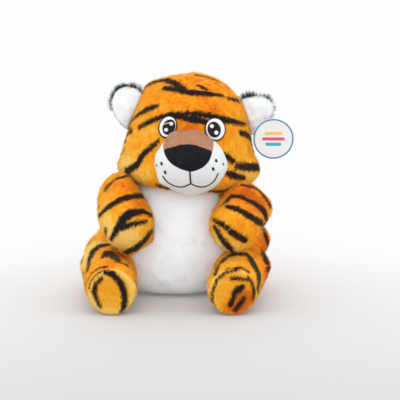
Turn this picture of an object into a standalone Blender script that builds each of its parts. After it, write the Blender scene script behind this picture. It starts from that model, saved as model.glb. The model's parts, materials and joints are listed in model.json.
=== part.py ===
"""Seated plush tiger with sewn head, arms, legs and tail.

The toy sits on the floor, faces -Y and has the centre of its seat at the origin.
Left and right are the tiger's own, so left is +X.
Every stuffed part is a cover with its own filling inside. The smaller part is cut to the
larger one that it is sewn to, and a seam gap lies between them.
"""
import math

import bmesh
import bpy
from mathutils import Matrix, Vector

# Cloth and seams
CLOTH_THICKNESS = 0.0016
SEAM_GAP = 0.0003
FILLING_GAP = 0.0006
CUT_OVERRUN = 0.05
FLOOR_CUT = 0.0005
WELD_DISTANCE = 0.00001

# Posture
LEAN_DEG = 4.5
NECK_TURN_RANGE_DEG = 12.0
ARM_OPEN_RANGE_DEG = 25.0
LEG_SPLAY_RANGE_DEG = 18.0
TAIL_SWING_RANGE_DEG = 20.0

# Torso
TORSO_WIDTH = 0.168
TORSO_DEPTH = 0.118
TORSO_TOP_ABOVE_NECK = 0.016
TORSO_SEGMENTS = 12
TORSO_PROFILE_SHARES = (
    (0.00, 0.00, 0.00),
    (0.00, 0.74, 0.76),
    (0.10, 0.96, 0.98),
    (0.26, 1.00, 1.02),
    (0.46, 0.97, 1.00),
    (0.64, 0.86, 0.88),
    (0.80, 0.70, 0.70),
    (0.92, 0.52, 0.54),
    (1.00, 0.00, 0.00),
)
BELLY_WIDTH = 0.114
BELLY_CENTRE_HEIGHT = 0.045
BELLY_TOP_ABOVE_NECK = 0.015
BELLY_DROP = 0.078
BELLY_BACK_EDGE = 0.012

# Head
NECK_HEIGHT = 0.108
NECK_ASIDE = 0.002
NECK_FORWARD = 0.006
HEAD_WIDTH = 0.1355
HEAD_DEPTH = 0.118
HEAD_HEIGHT = 0.1065
HEAD_TUCK = 0.008
HEAD_SEGMENTS = 12
HEAD_PROFILE_SHARES = (
    (0.00, 0.00, 0.00),
    (0.01, 0.66, 0.66),
    (0.08, 0.94, 0.94),
    (0.17, 1.00, 1.00),
    (0.33, 0.95, 0.99),
    (0.50, 0.89, 0.96),
    (0.66, 0.80, 0.88),
    (0.81, 0.69, 0.75),
    (0.93, 0.45, 0.50),
    (1.00, 0.00, 0.00),
)

# Muzzle, with the nose and the brown bridge let into it
MUZZLE_WIDTH = 0.073
MUZZLE_HEIGHT = 0.066
MUZZLE_DEPTH = 0.078
MUZZLE_CENTRE_HEIGHT = 0.0285
MUZZLE_CENTRE_FORWARD = 0.052
MUZZLE_ASIDE = 0.0028
MUZZLE_SEGMENTS = 10
MUZZLE_PROFILE_SHARES = (
    (0.00, 0.00, 0.00, 0.86),
    (0.04, 0.44, 0.44, 0.89),
    (0.20, 0.80, 0.80, 0.95),
    (0.42, 1.00, 0.98, 1.00),
    (0.60, 0.94, 1.00, 1.02),
    (0.78, 0.72, 0.90, 0.98),
    (0.94, 0.44, 0.54, 0.92),
    (1.00, 0.00, 0.00, 0.90),
)
NOSE_WIDTH = 0.044
NOSE_RISE = 0.0040
NOSE_DROP = 0.020
NOSE_LINE_HEIGHT = 0.0455
BRIDGE_WIDTH = 0.047
BRIDGE_RISE = 0.022
BRIDGE_DROP = 0.010
BRIDGE_LINE_HEIGHT = 0.0475
NOSE_WINDOW_BACK = 0.034
BRIDGE_WINDOW_BACK = 0.030
WINDOW_SIDES = 18

# Eyes, as flat layers on the head
EYE_SPACING = 0.0456
EYE_HEIGHT_ON_HEAD = 0.0580
EYE_WIDTH = 0.0190
EYE_TALL = 0.0222
EYE_TILT_DEG = 10.0
EYE_RIM = 0.0010
EYE_LAYER = 0.0006
PUPIL_WIDTH = 0.0132
PUPIL_TALL = 0.0158
PUPIL_TOWARDS_NOSE = 0.0010
GLINT_RADIUS = 0.0020
GLINT_ACROSS = 0.0027
GLINT_UP = 0.0033
EYE_WINDOW_BACK = 0.030
EYE_SIDES = 14
GLINT_SIDES = 8

# Ears
EAR_WIDTH = 0.038
EAR_TALL = 0.044
EAR_THICKNESS = 0.0090
EAR_INSET = 0.0092
EAR_BELOW_CROWN = {"left": 0.0360, "right": 0.0410}
EAR_BACK = 0.004
EAR_TILT_DEG = 34.0
EAR_FACING_DEG = 8.0
EAR_SEGMENTS = 8
EAR_PROFILE_SHARES = (
    (0.00, 0.00, 0.00),
    (0.05, 0.60, 0.70),
    (0.30, 0.94, 1.00),
    (0.56, 1.00, 1.00),
    (0.80, 0.82, 0.90),
    (0.96, 0.46, 0.60),
    (1.00, 0.00, 0.00),
)

# Arms
SHOULDER_OUT = 0.0630
SHOULDER_FORWARD = 0.026
SHOULDER_BELOW_NECK = 0.0200
SHOULDER_RADIUS = 0.0200
SHOULDER_PIVOT_OUT = 0.0040
SHOULDER_PIVOT_BACK = 0.0175
FOREARM_RADIUS = 0.0250
PAW_RADIUS = 0.0268
ARM_LENGTH = 0.0440
ARM_INWARD_DEG = 17.0
ARM_DROOP_DEG = {"left": 8.0, "right": 21.0}
LIMB_SEGMENTS = 8
ROUND_END_SHARES = (0.66, 0.82)

# Legs
HIP_OUT = 0.0605
HIP_RADIUS = 0.0320
HIP_PIVOT_OUT = 0.0130
HIP_PIVOT_BACK = 0.0285
KNEE_RADIUS = 0.0245
ANKLE_RADIUS = 0.0252
SOLE_RADIUS = 0.0240
LEG_LENGTH = 0.1070
LEG_MIDWAY_SHARE = 0.47
ANKLE_SHARE = 0.86
FOOT_INWARD = {"left": 0.0065, "right": 0.0030}
KNEE_OUTWARD = 0.0045
SOLE_INSET = 0.0030
SOLE_WINDOW_DEPTH = 0.009

# Tail
TAIL_ROOT_HEIGHT = 0.024
TAIL_RADIUS = 0.0085
TAIL_BEND_RADIUS = 0.038
TAIL_BEND_DEG = 110.0
TAIL_ARC_POINTS = 7
TAIL_TIP_DEG = (30.0, 60.0, 78.0)
TAIL_ROOT_BURIED = 0.012
TAIL_FLOOR_GAP = 0.0010

# Hang tag and its filament
TAG_RADIUS = 0.0195
TAG_THICKNESS = 0.0010
TAG_HOLE_RADIUS = 0.0014
TAG_HOLE_INSET = 0.0035
TAG_BEYOND_EAR_HOLE = 0.0070
TAG_FORWARD = 0.024
TAG_SIDES = 28
FILAMENT_RADIUS = 0.00045
FILAMENT_FOOT = 0.0030
FILAMENT_CLEARANCE = 0.0004
EAR_HOLE_BEYOND_HEAD = 0.00375
EAR_HOLE_BELOW_CROWN = 0.0395

X_AXIS = Vector((1.0, 0.0, 0.0))
Y_AXIS = Vector((0.0, 1.0, 0.0))
Z_AXIS = Vector((0.0, 0.0, 1.0))
SIDES = (("left", 1.0), ("right", -1.0))


def clear_scene():
    """Remove every object that the file holds."""
    for obj in list(bpy.data.objects):
        bpy.data.objects.remove(obj, do_unlink=True)


def make_collection(name):
    """Add a named collection to the scene."""
    collection = bpy.data.collections.new(name)
    bpy.context.scene.collection.children.link(collection)
    return collection


def make_material(name, colour, roughness):
    """Principled material with a linear base colour."""
    material = bpy.data.materials.new(name)
    material.use_nodes = True
    shader = material.node_tree.nodes["Principled BSDF"]
    shader.inputs["Base Color"].default_value = (*colour, 1.0)
    shader.inputs["Roughness"].default_value = roughness
    shader.inputs["Metallic"].default_value = 0.0
    return material


def add_object(name, mesh, collection, parent=None):
    """Link an object to its collection, under a parent when it has one."""
    obj = bpy.data.objects.new(name, mesh)
    obj.parent = parent
    collection.objects.link(obj)
    return obj


def add_part(name, mesh, material, parent=None):
    """Add one sub-part of the toy, smooth over its curves."""
    mesh.materials.clear()
    mesh.materials.append(material)
    mesh.shade_smooth()
    return add_object(name, mesh, PARTS, parent)


def add_guide(name, mesh, parent=None):
    """Add a cutting shape, shown as wire and left out of the toy."""
    obj = add_object(name, mesh, GUIDES, parent)
    obj.display_type = "WIRE"
    obj.hide_render = True
    return obj


def add_pivot(name, matrix):
    """Add an empty that stands on a joint's axis."""
    pivot = bpy.data.objects.new(name, None)
    pivot.matrix_world = matrix
    PARTS.objects.link(pivot)
    return pivot


def finish_mesh(name, bm):
    """Turn a bmesh into a mesh whose faces point out."""
    bm.normal_update()
    bmesh.ops.recalc_face_normals(bm, faces=bm.faces)
    mesh = bpy.data.meshes.new(name)
    bm.to_mesh(mesh)
    bm.free()
    return mesh


def form_mesh(name, segments, stations, up=Y_AXIS):
    """Coarse closed cage: a sphere whose rings are moved onto the stations.

    A station is the ring's centre, its half width along X and its half width along up.
    Each ring is wider by the amount that smoothing takes off its corners, and turned by half
    a segment, so that no corner lies on a middle plane where a seam is cut.
    """
    intervals = len(stations) - 1
    swell = 1.0 / math.cos(math.pi / segments)
    turned = Matrix.Rotation(math.pi / segments, 4, "Z")
    bm = bmesh.new()
    bmesh.ops.create_uvsphere(bm, u_segments=segments, v_segments=intervals, radius=1.0, matrix=turned)
    for vert in bm.verts:
        polar = math.acos(max(-1.0, min(1.0, -vert.co.z)))
        centre, half_across, half_up = stations[round(polar / math.pi * intervals)]
        turn = math.atan2(vert.co.y, vert.co.x)
        across = X_AXIS * (math.cos(turn) * half_across * swell)
        vert.co = centre + across + up * (math.sin(turn) * half_up * swell)
    return finish_mesh(name, bm)


def prism_mesh(name, sides, half_width, rise, drop, front, back):
    """Oval prism along Y whose upper and lower halves have their own heights."""
    half_side_turn = Matrix.Rotation(math.pi / sides, 4, "Z")
    bm = bmesh.new()
    bmesh.ops.create_cone(
        bm, cap_ends=True, segments=sides, radius1=1.0, radius2=1.0, depth=2.0, matrix=half_side_turn
    )
    for vert in bm.verts:
        tall = rise if vert.co.y > 0.0 else drop
        depth = back if vert.co.z > 0.0 else front
        vert.co = Vector((vert.co.x * half_width, depth, vert.co.y * tall))
    return finish_mesh(name, bm)


def box_mesh(name, low, high):
    """Box between two corners."""
    bm = bmesh.new()
    bmesh.ops.create_cube(bm, size=1.0)
    size = Vector(high) - Vector(low)
    middle = (Vector(high) + Vector(low)) / 2
    for vert in bm.verts:
        vert.co = middle + Vector(a * b for a, b in zip(vert.co, size))
    return finish_mesh(name, bm)


def tube_mesh(name, points, radius, radius_shares=None, resolution=2):
    """Round tube along a polyline, with filled and welded ends."""
    curve = bpy.data.curves.new(name, "CURVE")
    curve.dimensions = "3D"
    curve.bevel_depth = radius
    curve.bevel_resolution = resolution
    curve.use_fill_caps = True
    spline = curve.splines.new("POLY")
    spline.points.add(len(points) - 1)
    shares = radius_shares or [1.0] * len(points)
    for knot, point, share in zip(spline.points, points, shares):
        knot.co = (*point, 1.0)
        knot.radius = share
    holder = bpy.data.objects.new(name, curve)
    GUIDES.objects.link(holder)
    graph = bpy.context.evaluated_depsgraph_get()
    mesh = bpy.data.meshes.new_from_object(holder.evaluated_get(graph))
    bpy.data.objects.remove(holder, do_unlink=True)
    bpy.data.curves.remove(curve)
    bm = bmesh.new()
    bm.from_mesh(mesh)
    bpy.data.meshes.remove(mesh)
    bmesh.ops.remove_doubles(bm, verts=bm.verts, dist=WELD_DISTANCE)
    return finish_mesh(name, bm)


def round_over(obj):
    """Smooth a coarse cage once."""
    modifier = obj.modifiers.new("smooth_form", "SUBSURF")
    modifier.levels = 1
    modifier.render_levels = 1


def push_out(obj, distance):
    """Move the whole surface along its normals."""
    modifier = obj.modifiers.new("push_out", "DISPLACE")
    modifier.mid_level = 0.0
    modifier.strength = distance


def thicken(obj, thickness, outward=False):
    """Give a surface its cloth thickness, inwards unless told otherwise."""
    modifier = obj.modifiers.new("cloth", "SOLIDIFY")
    modifier.thickness = thickness
    modifier.offset = 1.0 if outward else -1.0


def cut(obj, cutter, operation="DIFFERENCE"):
    """Cut an object with a guide, or keep what lies inside the guide."""
    modifier = obj.modifiers.new(operation.lower() + "_" + cutter.name, "BOOLEAN")
    modifier.operation = operation
    modifier.solver = "EXACT"
    modifier.object = cutter


def add_cover(name, mesh, material, parent):
    """Cloth cover of a stuffed form."""
    cover = add_part(name, mesh.copy(), material, parent)
    round_over(cover)
    thicken(cover, CLOTH_THICKNESS)
    return cover


def add_stuffing(name, mesh, parent):
    """Filling that lies inside a cover, a small gap away from the cloth."""
    stuffing = add_part(name, mesh.copy(), FILLING, parent)
    round_over(stuffing)
    push_out(stuffing, -CLOTH_THICKNESS - FILLING_GAP)
    return stuffing


def add_grown_form(name, mesh, parent=None):
    """Guide a seam gap larger than a form, which cuts the smaller parts sewn to it."""
    guide = add_guide(name, mesh.copy(), parent)
    round_over(guide)
    push_out(guide, SEAM_GAP)
    return guide


def copy_location(obj, source):
    """Give a piece the place and turn of the piece that it belongs to."""
    obj.location = source.location
    obj.rotation_euler = source.rotation_euler


def window_pair(name, sides, half_width, rise, drop, front, back, height, parent=None):
    """Two prisms for a panel: one keeps the panel, the larger one leaves room for its seam."""
    guides = []
    for suffix, extra in (("_window", 0.0), ("_opening", SEAM_GAP)):
        mesh = prism_mesh(
            name + suffix, sides, half_width + extra, rise + extra, drop + extra, front, back + extra
        )
        guide = add_guide(name + suffix, mesh, parent)
        guide.location.z = height
        guides.append(guide)
    return guides


def torso_form():
    """Pear form of the torso, sheared to the lean and leaning forward to the neck."""
    lean = math.tan(math.radians(LEAN_DEG))
    forward = NECK_FORWARD / NECK_HEIGHT
    stations = []
    for height_share, width_share, depth_share in TORSO_PROFILE_SHARES:
        height = (NECK_HEIGHT + TORSO_TOP_ABOVE_NECK) * height_share - FLOOR_CUT
        centre = Vector((height * lean, -height * forward, height))
        stations.append((centre, TORSO_WIDTH / 2 * width_share, TORSO_DEPTH / 2 * depth_share))
    return form_mesh("torso_form", TORSO_SEGMENTS, stations)


def head_form():
    """Dome form of the head, from below the neck plane to the crown."""
    span = HEAD_HEIGHT + HEAD_TUCK
    stations = []
    for height_share, width_share, depth_share in HEAD_PROFILE_SHARES:
        centre = Vector((0.0, 0.0, span * height_share - HEAD_TUCK))
        stations.append((centre, HEAD_WIDTH / 2 * width_share, HEAD_DEPTH / 2 * depth_share))
    return form_mesh("head_form", HEAD_SEGMENTS, stations)


def muzzle_form():
    """Rounded muzzle whose upper half reaches further forward, for the nose."""
    bottom = MUZZLE_CENTRE_HEIGHT - MUZZLE_HEIGHT / 2
    stations = []
    for height_share, width_share, depth_share, forward_share in MUZZLE_PROFILE_SHARES:
        height = bottom + MUZZLE_HEIGHT * height_share
        centre = Vector((MUZZLE_ASIDE, -MUZZLE_CENTRE_FORWARD * forward_share, height))
        stations.append((centre, MUZZLE_WIDTH / 2 * width_share, MUZZLE_DEPTH / 2 * depth_share))
    return form_mesh("muzzle_form", MUZZLE_SEGMENTS, stations)


def limb_stations(rings):
    """Stations along -Y from the distance, radius, height and sideways shift of each ring."""
    return [(Vector((aside, -distance, height)), radius, radius) for distance, radius, height, aside in rings]


def arm_form():
    """Arm that swells from a round shoulder to a larger round paw."""
    out_share, round_share = ROUND_END_SHARES
    rings = (
        (-SHOULDER_RADIUS, 0.0, 0.0, 0.0),
        (-SHOULDER_RADIUS * out_share, SHOULDER_RADIUS * round_share, 0.0, 0.0),
        (0.0, SHOULDER_RADIUS, 0.0, 0.0),
        (ARM_LENGTH / 2, FOREARM_RADIUS, 0.0, 0.0),
        (ARM_LENGTH, PAW_RADIUS, 0.0, 0.0),
        (ARM_LENGTH + PAW_RADIUS * out_share, PAW_RADIUS * round_share, 0.0, 0.0),
        (ARM_LENGTH + PAW_RADIUS, 0.0, 0.0, 0.0),
    )
    return form_mesh("arm_form", LIMB_SEGMENTS, limb_stations(rings), up=Z_AXIS)


def leg_form(side, sign):
    """Leg from a broad round hip, bowed out at the knee, to a flat sole, lying on the floor all along."""
    out_share, round_share = ROUND_END_SHARES
    hip_height = HIP_RADIUS - FLOOR_CUT
    knee_height = KNEE_RADIUS - FLOOR_CUT
    ankle_height = ANKLE_RADIUS - FLOOR_CUT
    sole_height = SOLE_RADIUS - FLOOR_CUT
    knee_aside = sign * KNEE_OUTWARD
    foot_aside = -sign * FOOT_INWARD[side]
    rings = (
        (-HIP_RADIUS, 0.0, hip_height, 0.0),
        (-HIP_RADIUS * out_share, HIP_RADIUS * round_share, hip_height, 0.0),
        (0.0, HIP_RADIUS, hip_height, 0.0),
        (LEG_LENGTH * LEG_MIDWAY_SHARE, KNEE_RADIUS, knee_height, knee_aside),
        (LEG_LENGTH * ANKLE_SHARE, ANKLE_RADIUS, ankle_height, foot_aside),
        (LEG_LENGTH, SOLE_RADIUS, sole_height, foot_aside),
        (LEG_LENGTH, SOLE_RADIUS * out_share, sole_height, foot_aside),
        (LEG_LENGTH, 0.0, sole_height, foot_aside),
    )
    return form_mesh("leg_form", LIMB_SEGMENTS, limb_stations(rings), up=Z_AXIS)


def ear_form():
    """Flat rounded ear, upright around its own centre."""
    stations = []
    for height_share, width_share, thickness_share in EAR_PROFILE_SHARES:
        centre = Vector((0.0, 0.0, EAR_TALL * (height_share - 0.5)))
        stations.append((centre, EAR_WIDTH / 2 * width_share, EAR_THICKNESS / 2 * thickness_share))
    return form_mesh("ear_form", EAR_SEGMENTS, stations)


def build_torso(torso, floor_box, neck_pivot):
    """Back cover, belly panel and filling, open at the neck."""
    above_neck = add_guide(
        "above_neck",
        box_mesh(
            "above_neck",
            (-CUT_OVERRUN - HEAD_WIDTH, -CUT_OVERRUN - HEAD_DEPTH, -SEAM_GAP / 2),
            (CUT_OVERRUN + HEAD_WIDTH, CUT_OVERRUN + HEAD_DEPTH, CUT_OVERRUN),
        ),
        neck_pivot,
    )
    window, opening = window_pair(
        "belly",
        WINDOW_SIDES,
        BELLY_WIDTH / 2,
        NECK_HEIGHT + BELLY_TOP_ABOVE_NECK - BELLY_CENTRE_HEIGHT,
        BELLY_DROP,
        -TORSO_DEPTH,
        -BELLY_BACK_EDGE,
        BELLY_CENTRE_HEIGHT,
    )
    back_cover = add_cover("torso_back_cover", torso, ORANGE_PLUSH, None)
    cut(back_cover, opening)
    belly = add_cover("belly_panel", torso, WHITE_PLUSH, None)
    cut(belly, window, "INTERSECT")
    stuffing = add_stuffing("torso_stuffing", torso, None)
    for piece in (back_cover, belly, stuffing):
        cut(piece, above_neck)
        cut(piece, floor_box)


def build_head(head, neck_pivot):
    """Head cover and filling, open at the neck."""
    below_neck = add_guide(
        "below_neck",
        box_mesh(
            "below_neck",
            (-CUT_OVERRUN - HEAD_WIDTH, -CUT_OVERRUN - HEAD_DEPTH, -CUT_OVERRUN),
            (CUT_OVERRUN + HEAD_WIDTH, CUT_OVERRUN + HEAD_DEPTH, SEAM_GAP / 2),
        ),
        neck_pivot,
    )
    cover = add_cover("head_cover", head, ORANGE_PLUSH, neck_pivot)
    stuffing = add_stuffing("head_stuffing", head, neck_pivot)
    for piece in (cover, stuffing):
        cut(piece, below_neck)


def build_muzzle(muzzle, grown_head, neck_pivot):
    """White muzzle cover with the nose and the bridge let into it, and its filling."""
    nose_front = -MUZZLE_CENTRE_FORWARD - MUZZLE_DEPTH
    bridge_front = nose_front - CUT_OVERRUN
    nose_window, nose_opening = window_pair(
        "nose", WINDOW_SIDES, NOSE_WIDTH / 2, NOSE_RISE, NOSE_DROP,
        nose_front, -NOSE_WINDOW_BACK, NOSE_LINE_HEIGHT, neck_pivot,
    )
    bridge_window, bridge_opening = window_pair(
        "nose_bridge", WINDOW_SIDES, BRIDGE_WIDTH / 2, BRIDGE_RISE, BRIDGE_DROP,
        bridge_front, -BRIDGE_WINDOW_BACK, BRIDGE_LINE_HEIGHT, neck_pivot,
    )
    cover = add_cover("muzzle_cover", muzzle, WHITE_VELOUR, neck_pivot)
    cut(cover, nose_opening)
    cut(cover, bridge_opening)
    bridge = add_cover("nose_bridge", muzzle, BROWN_VELOUR, neck_pivot)
    cut(bridge, bridge_window, "INTERSECT")
    cut(bridge, nose_opening)
    nose = add_cover("nose", muzzle, BLACK_VELOUR, neck_pivot)
    cut(nose, nose_window, "INTERSECT")
    stuffing = add_stuffing("muzzle_stuffing", muzzle, neck_pivot)
    for piece in (cover, bridge, nose, stuffing):
        cut(piece, grown_head)


def eye_prism(name, half_width, half_height, sides, across, height, sign, parent):
    """Oval prism through the face, leaning inwards at its top."""
    mesh = prism_mesh(name, sides, half_width, half_height, half_height, -HEAD_DEPTH, -EYE_WINDOW_BACK)
    guide = add_guide(name, mesh, parent)
    guide.location = (sign * across, 0.0, height)
    guide.rotation_euler.y = math.radians(-sign * EYE_TILT_DEG)
    return guide


def add_eye_layer(name, head, material, lift, neck_pivot):
    """Thin flat-sewn layer that follows the head's surface."""
    layer = add_part(name, head.copy(), material, neck_pivot)
    round_over(layer)
    push_out(layer, lift)
    thicken(layer, EYE_LAYER, outward=True)
    return layer


def build_eye(side, sign, head, grown_muzzle, neck_pivot):
    """Black patch with a white oval, a pupil and two glints let into each other."""
    out = EYE_SPACING / 2
    pupil_out = out - PUPIL_TOWARDS_NOSE
    high = EYE_HEIGHT_ON_HEAD

    def oval(part, width, tall, shrink, sides=EYE_SIDES, across=out, height=high):
        name = "eye_" + side + part
        half_width = width / 2 - shrink
        return eye_prism(name, half_width, tall / 2 - shrink, sides, across, height, sign, neck_pivot)

    glint_size = 2 * GLINT_RADIUS
    glint_places = (
        ("_upper", pupil_out - GLINT_ACROSS, high + GLINT_UP),
        ("_lower", pupil_out + GLINT_ACROSS, high - GLINT_UP),
    )
    patch = add_eye_layer("eye_patch_" + side, head, BLACK_VELOUR, SEAM_GAP, neck_pivot)
    cut(patch, oval("_patch_window", EYE_WIDTH, EYE_TALL, 0.0), "INTERSECT")
    lift = 2 * SEAM_GAP + EYE_LAYER
    white = add_eye_layer("eye_white_" + side, head, WHITE_FELT, lift, neck_pivot)
    cut(white, oval("_white_window", EYE_WIDTH, EYE_TALL, EYE_RIM), "INTERSECT")
    cut(white, oval("_pupil_opening", PUPIL_WIDTH, PUPIL_TALL, -SEAM_GAP, across=pupil_out))
    pupil = add_eye_layer("eye_pupil_" + side, head, BLACK_VELOUR, lift, neck_pivot)
    cut(pupil, oval("_pupil_window", PUPIL_WIDTH, PUPIL_TALL, 0.0, across=pupil_out), "INTERSECT")
    glints = []
    for place, across, height in glint_places:
        size = (glint_size, glint_size)
        spot = dict(sides=GLINT_SIDES, across=across, height=height)
        cut(pupil, oval("_glint_opening" + place, *size, -SEAM_GAP, **spot))
        glint = add_eye_layer("eye_glint_" + side + place, head, WHITE_FELT, lift, neck_pivot)
        cut(glint, oval("_glint_window" + place, *size, 0.0, **spot), "INTERSECT")
        glints.append(glint)
    for piece in (patch, white, pupil, *glints):
        cut(piece, grown_muzzle)


def build_ear(side, sign, ear, grown_head, neck_pivot, filament_hole):
    """White front and black plush back, meeting in the ear's middle plane."""
    half_gap = SEAM_GAP / 2
    reach = EAR_TALL
    thick = EAR_THICKNESS
    ear_height = HEAD_HEIGHT - EAR_BELOW_CROWN[side]
    ear_place = Vector((sign * (HEAD_WIDTH / 2 - EAR_INSET), EAR_BACK, ear_height))
    ear_turn = (0.0, math.radians(sign * EAR_TILT_DEG), math.radians(sign * EAR_FACING_DEG))
    layers = (
        ("ear_front_", WHITE_VELOUR, (-reach, -half_gap, -reach), (reach, thick, reach)),
        ("ear_back_", BLACK_PLUSH, (-reach, -thick, -reach), (reach, half_gap, reach)),
    )
    for prefix, material, low, high in layers:
        piece = add_part(prefix + side, ear.copy(), material, neck_pivot)
        piece.location = ear_place
        piece.rotation_euler = ear_turn
        round_over(piece)
        half = add_guide(prefix + side + "_other_half", box_mesh(piece.name + "_half", low, high), neck_pivot)
        copy_location(half, piece)
        cut(piece, half)
        cut(piece, grown_head)
        if side == "left":
            cut(piece, filament_hole)


def build_arm(side, sign, arm, upper, grown_torso):
    """Arm cover and filling, sewn to the torso's side at the shoulder."""
    shoulder = upper @ Vector((sign * SHOULDER_OUT, -SHOULDER_FORWARD, NECK_HEIGHT - SHOULDER_BELOW_NECK))
    pivot_offset = Vector((sign * SHOULDER_PIVOT_OUT, SHOULDER_PIVOT_BACK, 0.0))
    pivot = add_pivot("shoulder_pivot_" + side, Matrix.Translation(shoulder + pivot_offset))
    cover = add_cover("arm_cover_" + side, arm, ORANGE_PLUSH, pivot)
    stuffing = add_stuffing("arm_stuffing_" + side, arm, pivot)
    for piece in (cover, stuffing):
        piece.location = -pivot_offset
        droop = math.radians(ARM_DROOP_DEG[side])
        piece.rotation_euler = (droop, 0.0, math.radians(-sign * ARM_INWARD_DEG))
        cut(piece, grown_torso)


def build_leg(side, sign, grown_torso, floor_box):
    """Leg cover with its sole panel and filling, sewn to the torso at the hip."""
    leg = leg_form(side, sign)
    hip = Vector((sign * HIP_OUT, 0.0, 0.0))
    pivot_offset = Vector((sign * HIP_PIVOT_OUT, HIP_PIVOT_BACK, 0.0))
    pivot = add_pivot("hip_pivot_" + side, Matrix.Translation(hip + pivot_offset))
    sole_radius = SOLE_RADIUS - SOLE_INSET
    sole_middle = SOLE_RADIUS - FLOOR_CUT
    window, opening = window_pair(
        "sole_" + side, WINDOW_SIDES, sole_radius, sole_radius, sole_radius,
        -LEG_LENGTH - CUT_OVERRUN, SOLE_WINDOW_DEPTH - LEG_LENGTH, sole_middle,
    )
    for guide in (window, opening):
        guide.location.x = sign * (HIP_OUT - FOOT_INWARD[side])
    cover = add_cover("leg_cover_" + side, leg, ORANGE_PLUSH, pivot)
    sole = add_cover("sole_panel_" + side, leg, ORANGE_PLUSH, pivot)
    stuffing = add_stuffing("leg_stuffing_" + side, leg, pivot)
    cut(cover, opening)
    cut(sole, window, "INTERSECT")
    for piece in (cover, stuffing):
        cut(piece, grown_torso)
        cut(piece, floor_box)
    for piece in (cover, sole, stuffing):
        piece.location = -pivot_offset


def smooth_step(share):
    """Ease from 0 to 1."""
    return share * share * (3.0 - 2.0 * share)


def build_tail(torso):
    """Rolled tail that leaves the seat's back seam and curls sideways on the floor."""
    root = Vector((0.0, TORSO_DEPTH / 2, TAIL_ROOT_HEIGHT))
    pivot = add_pivot("tail_pivot", Matrix.Translation(root))
    rest_height = TAIL_RADIUS + TAIL_FLOOR_GAP - TAIL_ROOT_HEIGHT
    arc_length = TAIL_BEND_RADIUS * math.radians(TAIL_BEND_DEG)
    tip_start = arc_length - TAIL_RADIUS
    stops = [(tip_start * index / (TAIL_ARC_POINTS - 1), 1.0) for index in range(TAIL_ARC_POINTS)]
    for tip_deg in TAIL_TIP_DEG:
        tip_turn = math.radians(tip_deg)
        stops.append((tip_start + TAIL_RADIUS * math.sin(tip_turn), math.cos(tip_turn)))
    points = [Vector((0.0, -TAIL_ROOT_BURIED, 0.0))]
    radius_shares = [1.0]
    for distance, radius_share in stops:
        turn = distance / TAIL_BEND_RADIUS
        across = TAIL_BEND_RADIUS * (1.0 - math.cos(turn))
        back = TAIL_BEND_RADIUS * math.sin(turn)
        points.append(Vector((across, back, rest_height * smooth_step(distance / arc_length))))
        radius_shares.append(radius_share)
    mesh = tube_mesh("tail_form", points, TAIL_RADIUS, radius_shares)
    tail = add_part("tail", mesh, ORANGE_PLUSH, pivot)
    for label, turn_deg in (("left", -TAIL_SWING_RANGE_DEG), ("rest", 0.0), ("right", TAIL_SWING_RANGE_DEG)):
        guide = add_grown_form("torso_against_tail_" + label, torso)
        turn = Matrix.Rotation(math.radians(turn_deg), 4, "Z")
        guide.matrix_world = Matrix.Translation(root) @ turn @ Matrix.Translation(-root)
        cut(tail, guide)


def build_tag(neck, neck_pivot, filament_hole):
    """Round card tag that hangs on a nylon filament through the ear."""
    ear_hole = filament_hole.location
    hole = Vector((ear_hole.x + TAG_BEYOND_EAR_HOLE, -TAG_FORWARD, ear_hole.z))
    pivot = add_pivot("tag_pivot", Matrix.Translation(neck @ hole))
    mesh = prism_mesh(
        "tag_form", TAG_SIDES, TAG_RADIUS, TAG_RADIUS, TAG_RADIUS, -TAG_THICKNESS / 2, TAG_THICKNESS / 2
    )
    tag = add_part("hang_tag", mesh, CARD, pivot)
    tag.location.z = TAG_HOLE_INSET - TAG_RADIUS
    tag_hole = add_guide(
        "tag_hole",
        prism_mesh(
            "tag_hole", GLINT_SIDES, TAG_HOLE_RADIUS, TAG_HOLE_RADIUS, TAG_HOLE_RADIUS,
            -CUT_OVERRUN, CUT_OVERRUN,
        ),
        pivot,
    )
    cut(tag, tag_hole)
    half_ear = EAR_THICKNESS
    lead = FILAMENT_FOOT
    foot = Vector((FILAMENT_FOOT, 0.0, 0.0))
    behind_ear = ear_hole + Vector((0.0, half_ear, 0.0))
    before_ear = ear_hole - Vector((0.0, half_ear, 0.0))
    behind_tag = hole + Vector((0.0, lead, 0.0))
    before_tag = hole - Vector((0.0, lead, 0.0))
    points = [behind_ear - foot, behind_ear, before_ear]
    points += [before_ear.lerp(behind_tag, 0.5), behind_tag, before_tag, before_tag + foot]
    add_part("tag_filament", tube_mesh("filament", points, FILAMENT_RADIUS), NYLON, neck_pivot)


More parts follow.
